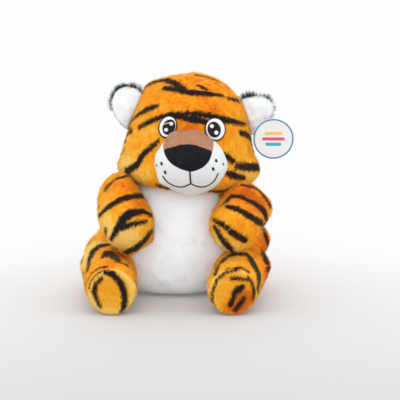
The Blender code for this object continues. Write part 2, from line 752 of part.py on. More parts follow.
def build():
    """Build the whole toy."""
    upper = Matrix.Rotation(math.radians(LEAN_DEG), 4, "Y")
    rise = Matrix.Translation((NECK_ASIDE, -NECK_FORWARD, NECK_HEIGHT))
    neck = upper @ rise
    neck_pivot = add_pivot("neck_pivot", neck)
    torso = torso_form()
    head = head_form()
    muzzle = muzzle_form()
    grown_torso = add_grown_form("grown_torso", torso)
    grown_head = add_grown_form("grown_head", head, neck_pivot)
    grown_muzzle = add_grown_form("grown_muzzle", muzzle, neck_pivot)
    reach = TORSO_WIDTH + LEG_LENGTH
    floor_box = add_guide(
        "floor_box", box_mesh("floor_box", (-reach, -reach, -CUT_OVERRUN), (reach, reach, 0.0))
    )
    hole_radius = FILAMENT_RADIUS + FILAMENT_CLEARANCE
    filament_hole = add_guide(
        "filament_hole",
        prism_mesh(
            "filament_hole", GLINT_SIDES, hole_radius, hole_radius, hole_radius,
            -EAR_THICKNESS * 2, EAR_THICKNESS * 2,
        ),
        neck_pivot,
    )
    hole_out = HEAD_WIDTH / 2 + EAR_HOLE_BEYOND_HEAD
    filament_hole.location = (hole_out, EAR_BACK, HEAD_HEIGHT - EAR_HOLE_BELOW_CROWN)
    build_torso(torso, floor_box, neck_pivot)
    build_head(head, neck_pivot)
    build_muzzle(muzzle, grown_head, neck_pivot)
    arm = arm_form()
    ear = ear_form()
    for side, sign in SIDES:
        build_eye(side, sign, head, grown_muzzle, neck_pivot)
        build_ear(side, sign, ear, grown_head, neck_pivot, filament_hole)
        build_arm(side, sign, arm, upper, grown_torso)
        build_leg(side, sign, grown_torso, floor_box)
    build_tail(torso)
    build_tag(neck, neck_pivot, filament_hole)


clear_scene()
PARTS = make_collection("plush_tiger")
GUIDES = make_collection("guides")
ORANGE_PLUSH = make_material("orange_plush", (0.93, 0.30, 0.02), 0.95)
WHITE_PLUSH = make_material("white_plush", (0.90, 0.90, 0.92), 0.95)
BLACK_PLUSH = make_material("black_plush", (0.02, 0.02, 0.02), 0.95)
WHITE_VELOUR = make_material("white_velour", (0.88, 0.88, 0.89), 0.85)
BROWN_VELOUR = make_material("brown_velour", (0.47, 0.23, 0.13), 0.85)
BLACK_VELOUR = make_material("black_velour", (0.02, 0.02, 0.025), 0.80)
WHITE_FELT = make_material("white_felt", (0.88, 0.88, 0.88), 0.90)
FILLING = make_material("filling", (0.85, 0.85, 0.82), 1.0)
CARD = make_material("card", (0.90, 0.90, 0.90), 0.60)
NYLON = make_material("nylon", (0.75, 0.75, 0.78), 0.35)
build()
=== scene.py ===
"""Looks of the seated plush tiger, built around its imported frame.

Every length is in metres. The toy faces -Y, and left is the tiger's own left, at +X.
Places that come from the photograph are pixels of its 400 by 400 frame. They are cast
from the camera onto the soft forms, so each mark lies on the surface that carries it.
"""
import json
import math

import bmesh
import bpy
import numpy as np
from mathutils import Matrix, Vector
from mathutils.bvhtree import BVHTree
from mathutils.kdtree import KDTree


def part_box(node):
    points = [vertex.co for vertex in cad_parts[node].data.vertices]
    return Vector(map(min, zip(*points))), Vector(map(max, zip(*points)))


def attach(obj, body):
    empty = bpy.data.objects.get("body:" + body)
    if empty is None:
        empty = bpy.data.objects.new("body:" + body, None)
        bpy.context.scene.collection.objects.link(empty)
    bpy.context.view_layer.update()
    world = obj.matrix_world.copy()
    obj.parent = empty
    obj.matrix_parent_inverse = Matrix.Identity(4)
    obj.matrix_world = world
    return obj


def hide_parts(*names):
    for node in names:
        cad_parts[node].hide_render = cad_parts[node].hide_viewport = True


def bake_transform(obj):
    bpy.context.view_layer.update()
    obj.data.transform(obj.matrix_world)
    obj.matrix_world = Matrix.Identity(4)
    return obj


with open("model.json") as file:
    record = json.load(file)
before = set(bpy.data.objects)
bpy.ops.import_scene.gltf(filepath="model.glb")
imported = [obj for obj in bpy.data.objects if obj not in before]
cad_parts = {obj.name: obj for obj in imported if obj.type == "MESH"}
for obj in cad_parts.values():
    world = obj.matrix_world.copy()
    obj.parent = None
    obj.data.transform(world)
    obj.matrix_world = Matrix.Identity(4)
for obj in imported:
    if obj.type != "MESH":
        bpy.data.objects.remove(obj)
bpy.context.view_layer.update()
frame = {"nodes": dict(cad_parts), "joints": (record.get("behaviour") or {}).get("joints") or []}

# Camera: a pixel is a millimetre in the plane through the origin
PIXEL = 0.001
PHOTO_MIDDLE = 200
VIEW_DISTANCE = 1.3
VIEW_ELEVATION_DEG = 12.0
VIEW_ASIDE = 0.024
VIEW_LIFT = 0.0843

X_AXIS = Vector((1.0, 0.0, 0.0))
Y_AXIS = Vector((0.0, 1.0, 0.0))
Z_AXIS = Vector((0.0, 0.0, 1.0))
SIDES = (("left", 1.0), ("right", -1.0))

VIEW_ELEVATION = math.radians(VIEW_ELEVATION_DEG)
VIEW_FORWARD = Vector((0.0, math.cos(VIEW_ELEVATION), -math.sin(VIEW_ELEVATION)))
VIEW_UP = Vector((0.0, math.sin(VIEW_ELEVATION), math.cos(VIEW_ELEVATION)))
EYE_POINT = X_AXIS * VIEW_ASIDE + VIEW_UP * VIEW_LIFT - VIEW_FORWARD * VIEW_DISTANCE

JOINTS = {joint["name"]: joint for joint in frame["joints"]}
NECK = Vector(JOINTS["neck"]["pos_m"])
NECK_AXIS = Vector(JOINTS["neck"]["axis"]).normalized()

# Lamps: name, place, diameter and power
LAMPS = (
    ("key_lamp", (-0.35, -1.0, 1.35), 1.0, 1.5),
    ("front_lamp", (0.10, -1.45, 0.06), 1.2, 5.2),
    ("right_lamp", (1.2, -0.5, 0.7), 0.9, 1.8),
    ("left_lamp", (-1.2, -0.4, 0.5), 0.9, 1.7),
    ("back_lamp", (0.1, 1.2, 1.1), 0.9, 1.5),
)
LAMP_TARGET = Vector((0.01, 0.0, 0.10))
WORLD_LIGHT = 1.16
WORLD_TINT = (0.985, 0.992, 1.0)
# Floor colours in front and behind: the darker front and paler back are painted light, not two colours of the
# floor
FLOOR_FRONT_SHADED = (0.48, 0.468, 0.445)
FLOOR_BACK_LIT = (0.77, 0.775, 0.78)

# Soft forms
CLOTH_LIFT = 0.0022
PILE_SINK = 0.0004
FLOOR_GAP = 0.0002
LUMP_HEIGHT = 0.0004
SEAM_DEPTH = 0.001
BURY_DEPTH = 0.010
BURY_REACH = 0.006
BELLY_MIDDLE_HEIGHT = 0.045
BELLY_HALF_HEIGHT = 0.078
SHOULDER_PULL = (0.0, -0.003, 0.011)
SHOULDER_PULL_RADIUS = 0.036
TAIL_BEND_RADIUS = 0.038
TAIL_RADIUS = 0.0085
CROWN_HEIGHT = 0.09
SOLE_BULGE = 0.0018
# Shade of the belly's folds and of the ears' base: depth and reach
BELLY_SHADE = (0.40, 0.0022)
EAR_SHADE = (0.55, 0.013)
# Middle of an ear's base: inward and down from the ear's middle
EAR_BASE = (0.016, 0.014)
# Rings of the tail: degrees along its bend, and width
TAIL_RINGS = ((28, 0.006), (52, 0.005), (74, 0.006), (95, 0.005), (116, 0.018))

# Stripes: strokes of the photograph, and broken rings where it doesn't look
STROKE_SWELL = 1.20
STROKE_STEP = 0.7
STRIPE_EDGE = 0.0014
STRIPE_FUZZ = 0.0007
SHORTEST_STRIPE = 16
RING_PITCH = 0.0125
RING_WIDTHS = (0.0026, 0.0056)
RING_RUN_DEG = (38.0, 78.0)
RING_GAP_DEG = (10.0, 26.0)
RING_SLOPE = 0.006
RING_BEND = 0.0025
# Surfaces that face the camera less than this count as out of its sight
LEAST_FACING = 0.12
HEAD_RINGS = (0.008, 0.098)
TORSO_RINGS = (0.010, 0.100)

# Stripes and tones: each stroke is a list of (pixel x, pixel y, width in pixels)
HEAD_STROKES = (
    ((144.6, 87, 3), (153.6, 82.2, 4), (166.3, 79.9, 5.5), (176.5, 84.1, 6), (184, 89.6, 5)),
    ((165, 88.2, 4.5), (176.5, 89.4, 6), (189.3, 92.6, 6), (205.9, 93.5, 5), (222.4, 95.2, 3.5)),
    ((197, 84.8, 2), (205.9, 89.2, 3)),
    ((195.7, 74.8, 1.5), (209.7, 77.8, 2), (218.6, 81.6, 1.5)),
    ((176.5, 73.4, 1.5), (189.3, 73.6, 1.5)),
    ((227.6, 98.2, 3), (237.8, 100.7, 4)),
    ((130.6, 122.4, 3), (138.3, 114.7, 4), (148.5, 109, 4.5), (157.4, 105.8, 3)),
    ((138.9, 127.5, 3), (148.5, 122.4, 4), (160, 117.3, 4), (171.4, 115.2, 5), (182.9, 116.2, 6.5),
     (194.4, 118.6, 7.5), (205.9, 122.4, 3.5)),
    ((187, 113.4, 4), (198, 114.0, 4), (209.7, 115.8, 4.5), (227.6, 120.5, 5.5), (245.4, 124.3, 3)),
    ((124.2, 137.7, 3), (131.9, 130.7, 3.5)),
    ((123.5, 153, 2.5), (125, 147.9, 2)),
    ((127, 171.5, 6), (137, 164.5, 5), (143.4, 154.3, 4.5), (151, 147.9, 4.5), (157.4, 141.5, 2.5)),
    ((240.3, 132.6, 4), (246.7, 134.5, 5.5), (251.8, 140.3, 6), (256.3, 147.5, 5)),
    ((225.6, 155.6, 4.5), (232.7, 161.3, 4.5)),
    ((236.5, 165.8, 5), (246.7, 167, 6.5), (262, 167, 6.5)),
    ((227.6, 173.4, 4.5), (235.2, 176, 5.5), (244.1, 177.9, 4)),
    ((209, 190.4, 3.5), (215, 191.2, 4.5), (222, 191.2, 4.5), (232.7, 189.8, 3.5)),
    ((157.5, 185.0, 3.5), (163, 187.0, 5), (170, 189.0, 4)),
)
ARM_STROKES = {
    "right": (
        ((104.5, 190.5, 2), (110.2, 184.4, 2.5), (117.8, 178.6, 3), (127.4, 175.7, 3), (132, 177.5, 2)),
        ((99.2, 216, 4), (108.3, 207.3, 6), (119.8, 199.7, 6), (132.2, 196.3, 5.5), (146, 195.8, 5)),
        ((111.1, 239.9, 3), (117.8, 227.4, 5), (123.6, 218.8, 7), (131.2, 213, 7), (142.7, 211.1, 5),
         (152, 216, 4)),
        ((119.8, 227.4, 6), (131.2, 224.5, 4.5), (145.6, 221.2, 3)),
        ((126.5, 252.3, 6.5), (136, 248.4, 9.5), (145.0, 240.4, 9), (151.5, 232, 6.5)),
        ((105.9, 229, 3.5), (105.9, 234, 3.5)),
    ),
    "left": (
        ((242.8, 185.3, 3), (256.2, 188.2, 4), (263.9, 195.8, 4.5), (270, 206, 4)),
        ((251.5, 180.6, 2.5), (261, 183.5, 2.5)),
        ((222.5, 205, 3), (231.4, 196.8, 5), (240.9, 196.8, 4), (254.3, 203.5, 5), (263.9, 211.1, 6),
         (266.8, 219.8, 4)),
        ((227.5, 206.4, 4), (238.1, 209.2, 5), (249.5, 215.9, 6), (260.1, 222.6, 6), (269.5, 228, 6)),
        ((213.5, 219.5, 3), (223.7, 225.5, 4), (233.3, 233.2, 5.5), (244.8, 240.3, 5)),
        ((215, 227, 4), (220.8, 237, 5), (227.5, 245.6, 5.5), (234, 252, 5)),
        ((211.5, 244, 2), (212.5, 247, 2)),
    ),
}
LEG_STROKES = {
    "right": (
        ((88, 271, 5), (89.4, 260.9, 6.5), (93.9, 251.3, 7), (100.6, 246.1, 7), (107, 245, 6)),
        ((104.5, 257.5, 6), (108.3, 252.8, 9), (113, 256.1, 9), (118.8, 262.3, 6), (127.4, 265.7, 3.5)),
        ((91, 240, 2), (84.8, 250, 2), (81.8, 262, 2)),
        ((86.8, 283, 1.5), (91, 273.5, 1.6), (98.7, 268.4, 2), (106.5, 266.6, 1.5)),
        ((134.1, 279, 2), (136.2, 285, 2.5), (138, 290, 5)),
        ((84.4, 282.9, 1.2), (87.5, 297.3, 1.2)),
    ),
    "left": (
        ((259.5, 245, 6), (263.4, 253, 8), (266.8, 262, 7)),
        ((249.5, 257, 7), (254.6, 266.7, 11), (258.6, 275.3, 13.5), (258.0, 288, 10)),
        ((215.4, 274, 3), (218.4, 266, 5), (225.6, 258.6, 7), (235.2, 254.2, 7.5), (246.6, 254.2, 6)),
        ((267.5, 269, 5), (271.5, 270, 5)),
        ((211.8, 306, 1.5), (211.5, 292.5, 1.8), (217.4, 278.4, 2), (228, 270, 1.8), (240.9, 267.6, 1.8),
         (249.6, 272.3, 1.5)),
        ((250.5, 301, 2), (252, 304, 2)),
    ),
}
TORSO_STROKES = (
    ((262, 228, 3), (266, 236, 4.5), (268, 244, 4)),
    ((98.7, 225.5, 2), (89.1, 240.8, 2.5), (84.4, 249.4, 2), (80.8, 260, 2)),
    ((269, 262, 5), (274, 270.5, 5)),
)
SOLE_STROKES = {
    "right": (
        ((105.4, 271.8, 4), (113, 274.3, 5), (120.7, 282.9, 5), (124.5, 293.4, 5), (124.3, 305.9, 4.5),
         (121.7, 312.6, 3)),
        ((101.6, 278.1, 3), (95.8, 283.9, 3.5), (94.4, 291.5, 4), (97.7, 301.1, 3), (100.6, 306.8, 2)),
        ((88.6, 288, 1.4), (90, 278.4, 1.8), (95.6, 271.4, 2.2), (103.4, 268.2, 1.6)),
    ),
    "left": (
        ((232.3, 278.6, 3), (240, 278.1, 2.5), (247.6, 280, 2)),
        ((241.9, 286.7, 4.5), (238.8, 289, 6), (234.8, 293, 4.5), (233.6, 297, 3.5)),
        ((212.4, 306, 1.8), (212.0, 292.5, 2.0), (217.0, 279.6, 2.0), (227, 271.6, 2.0), (239, 269.6, 1.8)),
        ((233.5, 297.5, 3.5), (230.4, 304, 4.5)),
        ((243.8, 298.2, 3.5), (240, 304, 4.5), (235.2, 309.7, 4)),
        ((248, 277, 1.8), (252.5, 283.5, 2.5), (254.4, 292, 3), (253.4, 300, 2.5)),
    ),
}
# Tone spots: (pixel x, pixel y, radius in pixels, paler above 0 and deeper below 0).
# They hold the cloth's own tone and also painted light and shade: paler at outer edges, deeper under the head
# and between parts
HEAD_TONES = (
    (124, 165, 12, 0.50), (140, 177, 12, 0.35), (246, 182, 13, 0.50), (205, 108, 24, -0.12),
    (150, 133, 9, 0.20), (140, 110, 9, 0.10), (190, 126, 9, -0.30), (236, 146, 12, 0.10),
    (210, 114, 8, -0.30), (128, 140, 9, 0.15),
)
ARM_TONES = {
    "right": (
        (124, 187, 11, -0.20), (140, 206, 10, -0.24), (104, 204, 9, 0.35), (126, 240, 13, 0.75),
        (104, 226, 10, 0.50), (151, 243, 5, -0.40),
    ),
    "left": (
        (243, 192, 11, -0.55), (258, 204, 9, -0.45), (232, 214, 10, 0.20), (246, 230, 10, -0.15),
        (219, 244, 11, 0.50), (238, 250, 8, 0.45), (268, 190, 6, 0.30),
    ),
}
LEG_TONES = {
    "right": ((90, 246, 12, 0.75), (83, 264, 9, 0.70), (108, 264, 8, -0.34), (122, 257, 9, -0.60),
              (132, 290, 9, 0.50), (88, 300, 9, 0.50)),
    "left": ((261, 254, 9, -0.60), (232, 262, 9, 0.0), (265, 278, 9, -0.55), (213, 288, 8, 0.45)),
}
SOLE_TONES = {
    "right": ((107, 290, 8, -0.15), (92, 305, 8, 0.20), (116, 300, 10, -0.05)),
    "left": ((222, 290, 10, 0.15), (247, 298, 7, -0.75), (240, 308, 8, -0.80), (229, 309, 5, -0.40)),
}
TORSO_TONES = ((92, 238, 14, 0.60), (266, 245, 14, -0.60))
# Pulls that shape a skin: (pixel x, pixel y, radius, right, down), all in pixels
HEAD_PULLS = ((257, 170, 22, 6.0, 0.0), (119, 168, 20, -3.5, 0.0), (206, 75, 26, 0.0, -1.5),
              (150, 84, 22, -3.5, -3.0), (143, 186, 15, 0.0, -5.0))
MUZZLE_PULLS = ((217, 138, 14, -3.0, 3.0), (191, 194, 12, 0.5, 2.0), (161, 183, 14, -4.0, 1.5),
                (171, 134, 12, -1.5, -3.0), (205, 133, 11, 0.0, 3.5))
ARM_PULLS = {
    "right": ((99, 190, 20, 6.0, 0.0), (129, 251, 18, 0.0, 7.0), (110, 173, 12, 2.0, 2.0),
              (148, 241, 15, 4.0, 3.0)),
    "left": ((272, 202, 22, 8.0, 0.0), (264, 244, 20, -7.0, -7.0), (234, 252, 13, 0.0, 5.0)),
}
TORSO_PULLS = ((266, 240, 26, 9.0, 0.0), (92, 238, 22, -3.0, 0.0))
LEG_PULLS = {
    "right": ((82, 260, 18, -4.0, 0.0), (90, 250, 12, -1.0, -3.0)),
    "left": ((270, 262, 20, 6.0, 0.0),),
}
EAR_PULLS = {"right": (), "left": ((255, 86, 26, 1.5, 4.5), (272, 108, 14, 2.0, 1.0))}
# Black fringe of an ear: (start and end in degrees from outward over the top, share of strands kept)
EAR_FRINGES = {"right": ((0.0, 160.0, 1.0), (-30.0, 0.0, 0.35)),
               "left": ((98.0, 170.0, 1.0), (-32.0, 98.0, 0.32))}
# Painted shade of soft creases on the belly, as strokes; the belly's skin has no creases of its own
BELLY_FOLD_SHADOWS = (
    ((186, 243, 1.5), (196, 242, 2.5), (204, 244, 1.5)),
    ((204, 256, 1.5), (199, 263, 2.5), (190, 268, 2.5), (187, 277, 1.5)),
    ((210, 263, 1.5), (205, 272, 2.5), (207, 282, 1.5)),
    ((150, 284, 1.5), (160, 285, 2.0), (168, 283, 1.5)),
)

# Base paleness of the striped pile
PALENESS = 0.46
SOLE_PALENESS = {"right": 0.66, "left": 0.50}

# Pile: strands, their length, width and lean from the skin's normal in degrees, the share of
# looser strands, and how much their shading varies
HEAD_PILE = (130000, 0.0031, 0.00050, 76.0, 0.18, 0.20)
BACK_PILE = (100000, 0.0031, 0.00052, 76.0, 0.18, 0.20)
BELLY_PILE = (80000, 0.0036, 0.00046, 78.5, 0.07, 0.05)
ARM_PILE = (44000, 0.0030, 0.00050, 75.5, 0.20, 0.20)
LEG_PILE = (50000, 0.0030, 0.00050, 75.5, 0.20, 0.20)
SOLE_PILE = (14000, 0.0026, 0.00042, 68.0, 0.2, 0.10)
TAIL_PILE = (18000, 0.0028, 0.00050, 74.0, 0.2, 0.20)
EAR_PILE = (12000, 0.0026, 0.00045, 76.0, 0.1, 0.08)
EAR_BACK_PILE = (12000, 0.0034, 0.00045, 70.0, 0.1, 0.20)
EAR_FRINGE = (12000, 0.0060, 0.00055, 38.0, 0.0, 0.20)
# What all strands share: spread of their way, lean and roll in radians, lift of the looser ones,
# limits of the lean, spread of the length, and where on the strand its tone is read
SWIRL_SPREAD = 0.22
LEAN_SPREAD = 0.09
ROLL_SPREAD = 0.05
LOOSE_LIFT = (0.12, 0.60)
LEAN_LIMITS = (0.1, 1.50)
LENGTH_SPREAD = (0.72, 1.18)
TONE_HEIGHT = 0.6
# Limbs: smoothing rounds, rings from and to, base paleness, first seed, strokes, tones, pile and comb
LIMBS = {
    "arm": (6, (0.008, 0.075), 0.45, 51, ARM_STROKES, ARM_TONES, ARM_PILE, (0.0, 0.35, -1.0)),
    "leg": (4, (0.012, 0.120), 0.50, 61, LEG_STROKES, LEG_TONES, LEG_PILE, (0.0, 0.35, -0.8)),
}

# Face outlines in pixels of the photograph
NOSE_OUTLINE = ((164.2, 150.2), (170.5, 146.6), (180, 144.3), (190, 143.9), (200, 145.6), (208, 149),
                (211.8, 151.8), (210.8, 157), (208, 162.5), (203, 167.2), (197, 170.2), (190.5, 171.6),
                (184, 170.2), (177, 167.3), (170.5, 162.8), (166, 156.8))
BRIDGE_OUTLINE = ((164.2, 151), (163.4, 142), (167.5, 137.4), (172.4, 133.8), (178, 130.8), (184, 129.5),
                  (191, 129.6), (198, 131.4), (203.5, 135.2), (209, 139.6), (213.2, 144.0), (211.8, 152.4),
                  (206, 149.4), (198, 146.6), (189, 145.2), (179, 146), (170, 148.6))
EYE_OUTLINES = {
    "right": ((167.6, 127.0), (9.2, 11.6), 20.0, (168.9, 127.1), (6.2, 8.0), 24.0,
              ((171.3, 123.8, 1.9), (166.1, 129.9, 1.9))),
    "left": ((215.2, 129.3), (10.6, 11.9), -12.0, (214.2, 129.6), (6.6, 8.0), -14.0,
             ((211.9, 126.2, 2.0), (216.3, 132.7, 2.1))),
}
MOUTH_LINES = (
    ((190.0, 171.0), (190.1, 176.0), (190.8, 183.4)),
    ((162.6, 175.8), (166.4, 181.0), (171.6, 184.6), (178.0, 186.7), (184.0, 186.6), (190.8, 183.6)),
    ((190.8, 183.6), (196.5, 186.2), (202.5, 186.9), (208.8, 185.0), (214.6, 180.2), (218.2, 173.2)),
)
MUZZLE_DOTS = ((161.4, 163.6, 1.2, 1.9), (165.0, 172.4, 1.2, 1.9), (216.3, 160.7, 1.2, 1.9),
               (213.3, 169.0, 1.3, 1.9), (156.3, 165.4, 0.6, 1.1), (223.6, 164.0, 0.6, 1.3))
# A thin pale line across the upper part of one pupil
EYE_LINE = ((162.8, 124.9), (165.7, 123.6), (169.6, 122.7))
# Brown top of the muzzle in pixels: left, right, where the right edge starts to slant, and lower limit
BROWN_ZONE = (163.6, 213.7, 143.0, 151.0)
# Steps between two given pixels of an outline
CURVE_STEPS = 6
# A raised point takes the surface below it to face its ray at least this much
LEAST_FACING_LIFT = 0.45

# Linear colours
RUST = (0.66, 0.115, 0.006)
DEEP_ORANGE = (0.94, 0.245, 0.008)
ORANGE = (0.94, 0.415, 0.018)
GOLDEN = (0.94, 0.515, 0.032)
PALE_ORANGE = (0.95, 0.68, 0.190)
# Painted shade deep in the pile at the strands' roots, and a painted highlight of light through their tips
ROOT_SHADE_ORANGE = (0.60, 0.15, 0.004)
TIP_HIGHLIGHT_ORANGE = (0.98, 0.56, 0.060)
# Colours of rising paleness: from, to and colour
PALE_STEPS = ((0.0, 0.16, DEEP_ORANGE), (0.16, 0.5, ORANGE), (0.5, 0.72, GOLDEN), (0.72, 1.0, PALE_ORANGE))
STRIPE_ROOT = (0.012, 0.011, 0.012)
STRIPE_TIP = (0.030, 0.024, 0.022)
MAROON = (0.17, 0.035, 0.010)
BROWNS = ((0.445, 0.22, 0.125), (0.385, 0.178, 0.10))
CARD_WHITE = (0.76, 0.76, 0.76)
CARD_BLUE = (0.05, 0.19, 0.40)
# Bars on the tag: height over its middle, half length and colour
TAG_BARS = ((0.0052, 0.0070, (0.82, 0.50, 0.10)), (0.0, 0.0092, (0.70, 0.07, 0.20)),
            (-0.0052, 0.0060, (0.05, 0.36, 0.50)))


def photo_ray(px, py):
    """Start and direction of the ray through a pixel of the photograph."""
    across = VIEW_ASIDE + (px - PHOTO_MIDDLE) * PIXEL
    height = VIEW_LIFT + (PHOTO_MIDDLE - py) * PIXEL
    target = X_AXIS * across + VIEW_UP * height
    return EYE_POINT, (target - EYE_POINT).normalized()


def photo_pixels(points):
    """Pixels of the photograph, across and down, at which points in space appear."""
    away = points - np.array(EYE_POINT)
    scale = VIEW_DISTANCE / (away @ np.array(VIEW_FORWARD)) / PIXEL
    return PHOTO_MIDDLE + away[:, 0] * scale, PHOTO_MIDDLE - away @ np.array(VIEW_UP) * scale


def add_object(name, data):
    """Link a new object to the scene."""
    obj = bpy.data.objects.new(name, data)
    bpy.context.scene.collection.objects.link(obj)
    return obj


def object_of(name, bm):
    """Smooth object made of a bmesh, which is freed."""
    mesh = bpy.data.meshes.new(name)
    bm.to_mesh(mesh)
    bm.free()
    mesh.shade_smooth()
    return add_object(name, mesh)


def smoothed(obj, name, rounds, voxel=None):
    """Replace an object by its smoothed mesh, remeshed first if a voxel size is given."""
    if voxel:
        remesh = obj.modifiers.new("remesh", "REMESH")
        remesh.mode = "VOXEL"
        remesh.voxel_size = voxel
    smooth = obj.modifiers.new("smooth", "SMOOTH")
    smooth.factor = 0.5
    smooth.iterations = rounds
    graph = bpy.context.evaluated_depsgraph_get()
    mesh = bpy.data.meshes.new_from_object(obj.evaluated_get(graph))
    bpy.data.objects.remove(obj, do_unlink=True)
    mesh.name = name
    mesh.shade_smooth()
    return add_object(name, mesh)


def rows_of(items, key):
    """Three numbers of each item as an array."""
    found = np.empty(len(items) * 3, np.float32)
    items.foreach_get(key, found)
    return found.reshape(-1, 3).astype(float)


def coordinates(mesh):
    """Vertex places as an array."""
    return rows_of(mesh.vertices, "co")


def vertex_normals(mesh):
    """Vertex normals as an array."""
    return rows_of(mesh.vertex_normals, "vector")


def set_coordinates(mesh, places):
    """Write vertex places back."""
    mesh.vertices.foreach_set("co", np.asarray(places, np.float32).ravel())
    mesh.update()


def surface_of(obj):
    """Search tree of an object's mesh."""
    mesh = obj.data
    mesh.calc_loop_triangles()
    corners = [tuple(triangle.vertices) for triangle in mesh.loop_triangles]
    return BVHTree.FromPolygons([v.co for v in mesh.vertices], corners)


def unit(vectors):
    """Rows scaled to length 1."""
    return vectors / np.maximum(np.linalg.norm(vectors, axis=1, keepdims=True), 1e-12)


def ripple(points, wavelength, seed, waves=6):
    """Smooth noise from -1 to 1: a few sine waves in seeded directions."""
    rng = np.random.default_rng(seed)
    ways = unit(rng.normal(size=(waves, 3))) * (math.tau / wavelength)
    ways *= rng.uniform(0.6, 1.5, size=(waves, 1))
    phases = rng.uniform(0.0, math.tau, size=waves)
    return np.sin(points @ ways.T + phases).sum(axis=1) / math.sqrt(waves) / 1.4


def cast(tree, px, py, near=None):
    """Surface point and normal under a pixel, or the nearest ones where the ray misses."""
    start, way = photo_ray(px, py)
    hit, normal, _, _ = tree.ray_cast(start, way)
    if hit is None:
        depth = VIEW_DISTANCE if near is None else (near - start).dot(way)
        hit, normal, _, _ = tree.find_nearest(start + way * depth)
    return hit, normal


def soft_skin(name, nodes, voxel, rounds, pulls=(), grow=CLOTH_LIFT):
    """Smooth closed skin around CAD solids, grown to the cover's face and pulled."""
    bm = bmesh.new()
    for node in nodes:
        bm.from_mesh(frame["nodes"][node].data)
    obj = smoothed(object_of(name + "_raw", bm), name, rounds, voxel)
    places = coordinates(obj.data)
    lift = grow + LUMP_HEIGHT * (ripple(places, 0.020, 11) + 0.6 * ripple(places, 0.009, 12))
    places = places + vertex_normals(obj.data) * lift[:, None]
    places[:, 2] = np.maximum(places[:, 2], FLOOR_GAP)
    set_coordinates(obj.data, places)
    shape(obj, pulls)
    return obj


def pull(obj, centre, radius, offset):
    """Move the skin near a point, fading out over the radius."""
    places = coordinates(obj.data)
    gap = np.linalg.norm(places - np.array(centre), axis=1) / radius
    share = np.clip(1.0 - gap, 0.0, 1.0)
    share = share * share * (3.0 - 2.0 * share)
    set_coordinates(obj.data, places + share[:, None] * np.array(offset))


def shape(obj, pulls):
    """Pull a skin where its outline in the photograph asks for it."""
    tree = surface_of(obj)
    middle = Vector(coordinates(obj.data).mean(axis=0))
    for px, py, radius, right, down in pulls:
        spot = cast(tree, px, py, near=middle)[0]
        pull(obj, spot, radius * PIXEL, (X_AXIS * right - Z_AXIS * down) * PIXEL)


def nearest_all(tree, points):
    """Normals of the nearest surface points, and signed distances to them."""
    found = [tree.find_nearest(point) for point in points]
    spots = np.array([hit[0] for hit in found])
    normals = np.array([hit[1] for hit in found])
    return normals, ((points - spots) * normals).sum(axis=1)


def clear_of(tree):
    """Test for the roots that lie outside another form."""
    return lambda roots: nearest_all(tree, roots)[1] > -SEAM_DEPTH


def bury(obj, tree):
    """Push the part of a skin that lies against another form into that form."""
    places = coordinates(obj.data)
    normals, signed = nearest_all(tree, places)
    share = np.clip(1.0 - signed / BURY_REACH, 0.0, 1.0)
    set_coordinates(obj.data, places - normals * (share * BURY_DEPTH)[:, None])


def stroke_samples(tree, strokes):
    """Points on a surface along strokes of the photograph, with half widths."""
    points, halves = [], []
    for stroke in strokes:
        last = None
        for (xa, ya, wa), (xb, yb, wb) in zip(stroke, stroke[1:]):
            count = max(2, int(math.hypot(xb - xa, yb - ya) / STROKE_STEP))
            for index in range(count + 1):
                share = index / count
                last = cast(tree, xa + (xb - xa) * share, ya + (yb - ya) * share, near=last)[0]
                points.append(last)
                halves.append((wa + (wb - wa) * share) * PIXEL / 2 * STROKE_SWELL)
    return points, halves


def ring_samples(tree, origin, axis, front, along, seed):
    """Broken rings of stripes around an axis, only where the photograph's camera doesn't look."""
    rng = np.random.default_rng(seed)
    points, halves = [], []
    for row in range(int((along[1] - along[0]) / RING_PITCH) + 1):
        turn = rng.uniform(0.0, 40.0)
        end = turn + 350.0
        while turn < end:
            length = rng.uniform(*RING_RUN_DEG)
            width = rng.uniform(*RING_WIDTHS)
            slope = rng.uniform(-RING_SLOPE, RING_SLOPE)
            bend = rng.uniform(-RING_BEND, RING_BEND)
            steps = int(length)
            run = []
            for index in range(steps + 1):
                share = index / steps
                place = along[0] + row * RING_PITCH
                place = place + slope * (share - 0.5) + bend * math.sin(share * math.tau)
                way = Matrix.Rotation(math.radians(turn + length * share), 3, axis) @ front
                hit, normal, _, _ = tree.ray_cast(origin + axis * place + way * 0.3, -way)
                if hit is not None and normal.dot((EYE_POINT - hit).normalized()) <= LEAST_FACING:
                    run.append((hit, width / 2 * math.sin(math.pi * (0.12 + 0.76 * share)) ** 0.6))
            if len(run) >= SHORTEST_STRIPE:
                points += [spot for spot, _ in run]
                halves += [half for _, half in run]
            turn += length + rng.uniform(*RING_GAP_DEG)
    return points, halves


def marks_of(*groups):
    """Search tree over sample points, with their half widths."""
    points = [point for group in groups for point in group[0]]
    halves = np.array([half for group in groups for half in group[1]])
    tree = KDTree(len(points))
    for index, point in enumerate(points):
        tree.insert(point, index)
    tree.balance()
    return tree, halves


def mark_gap(marks, points):
    """Distance from each point to the edge of the nearest mark, negative inside."""
    tree, halves = marks
    found = [tree.find(point) for point in points]
    return np.array([hit[2] for hit in found]) - halves[[hit[1] for hit in found]]


def tone_field(tree, spots):
    """Soft spots on a surface that make the pile paler or deeper."""
    placed = [(np.array(cast(tree, px, py)[0]), radius * PIXEL, strength)
              for px, py, radius, strength in spots]

    def field(points):
        total = np.zeros(len(points))
        for place, radius, strength in placed:
            gap = ((points - place) ** 2).sum(axis=1) / (2 * radius * radius)
            total += strength * np.exp(-gap)
        return total

    return field


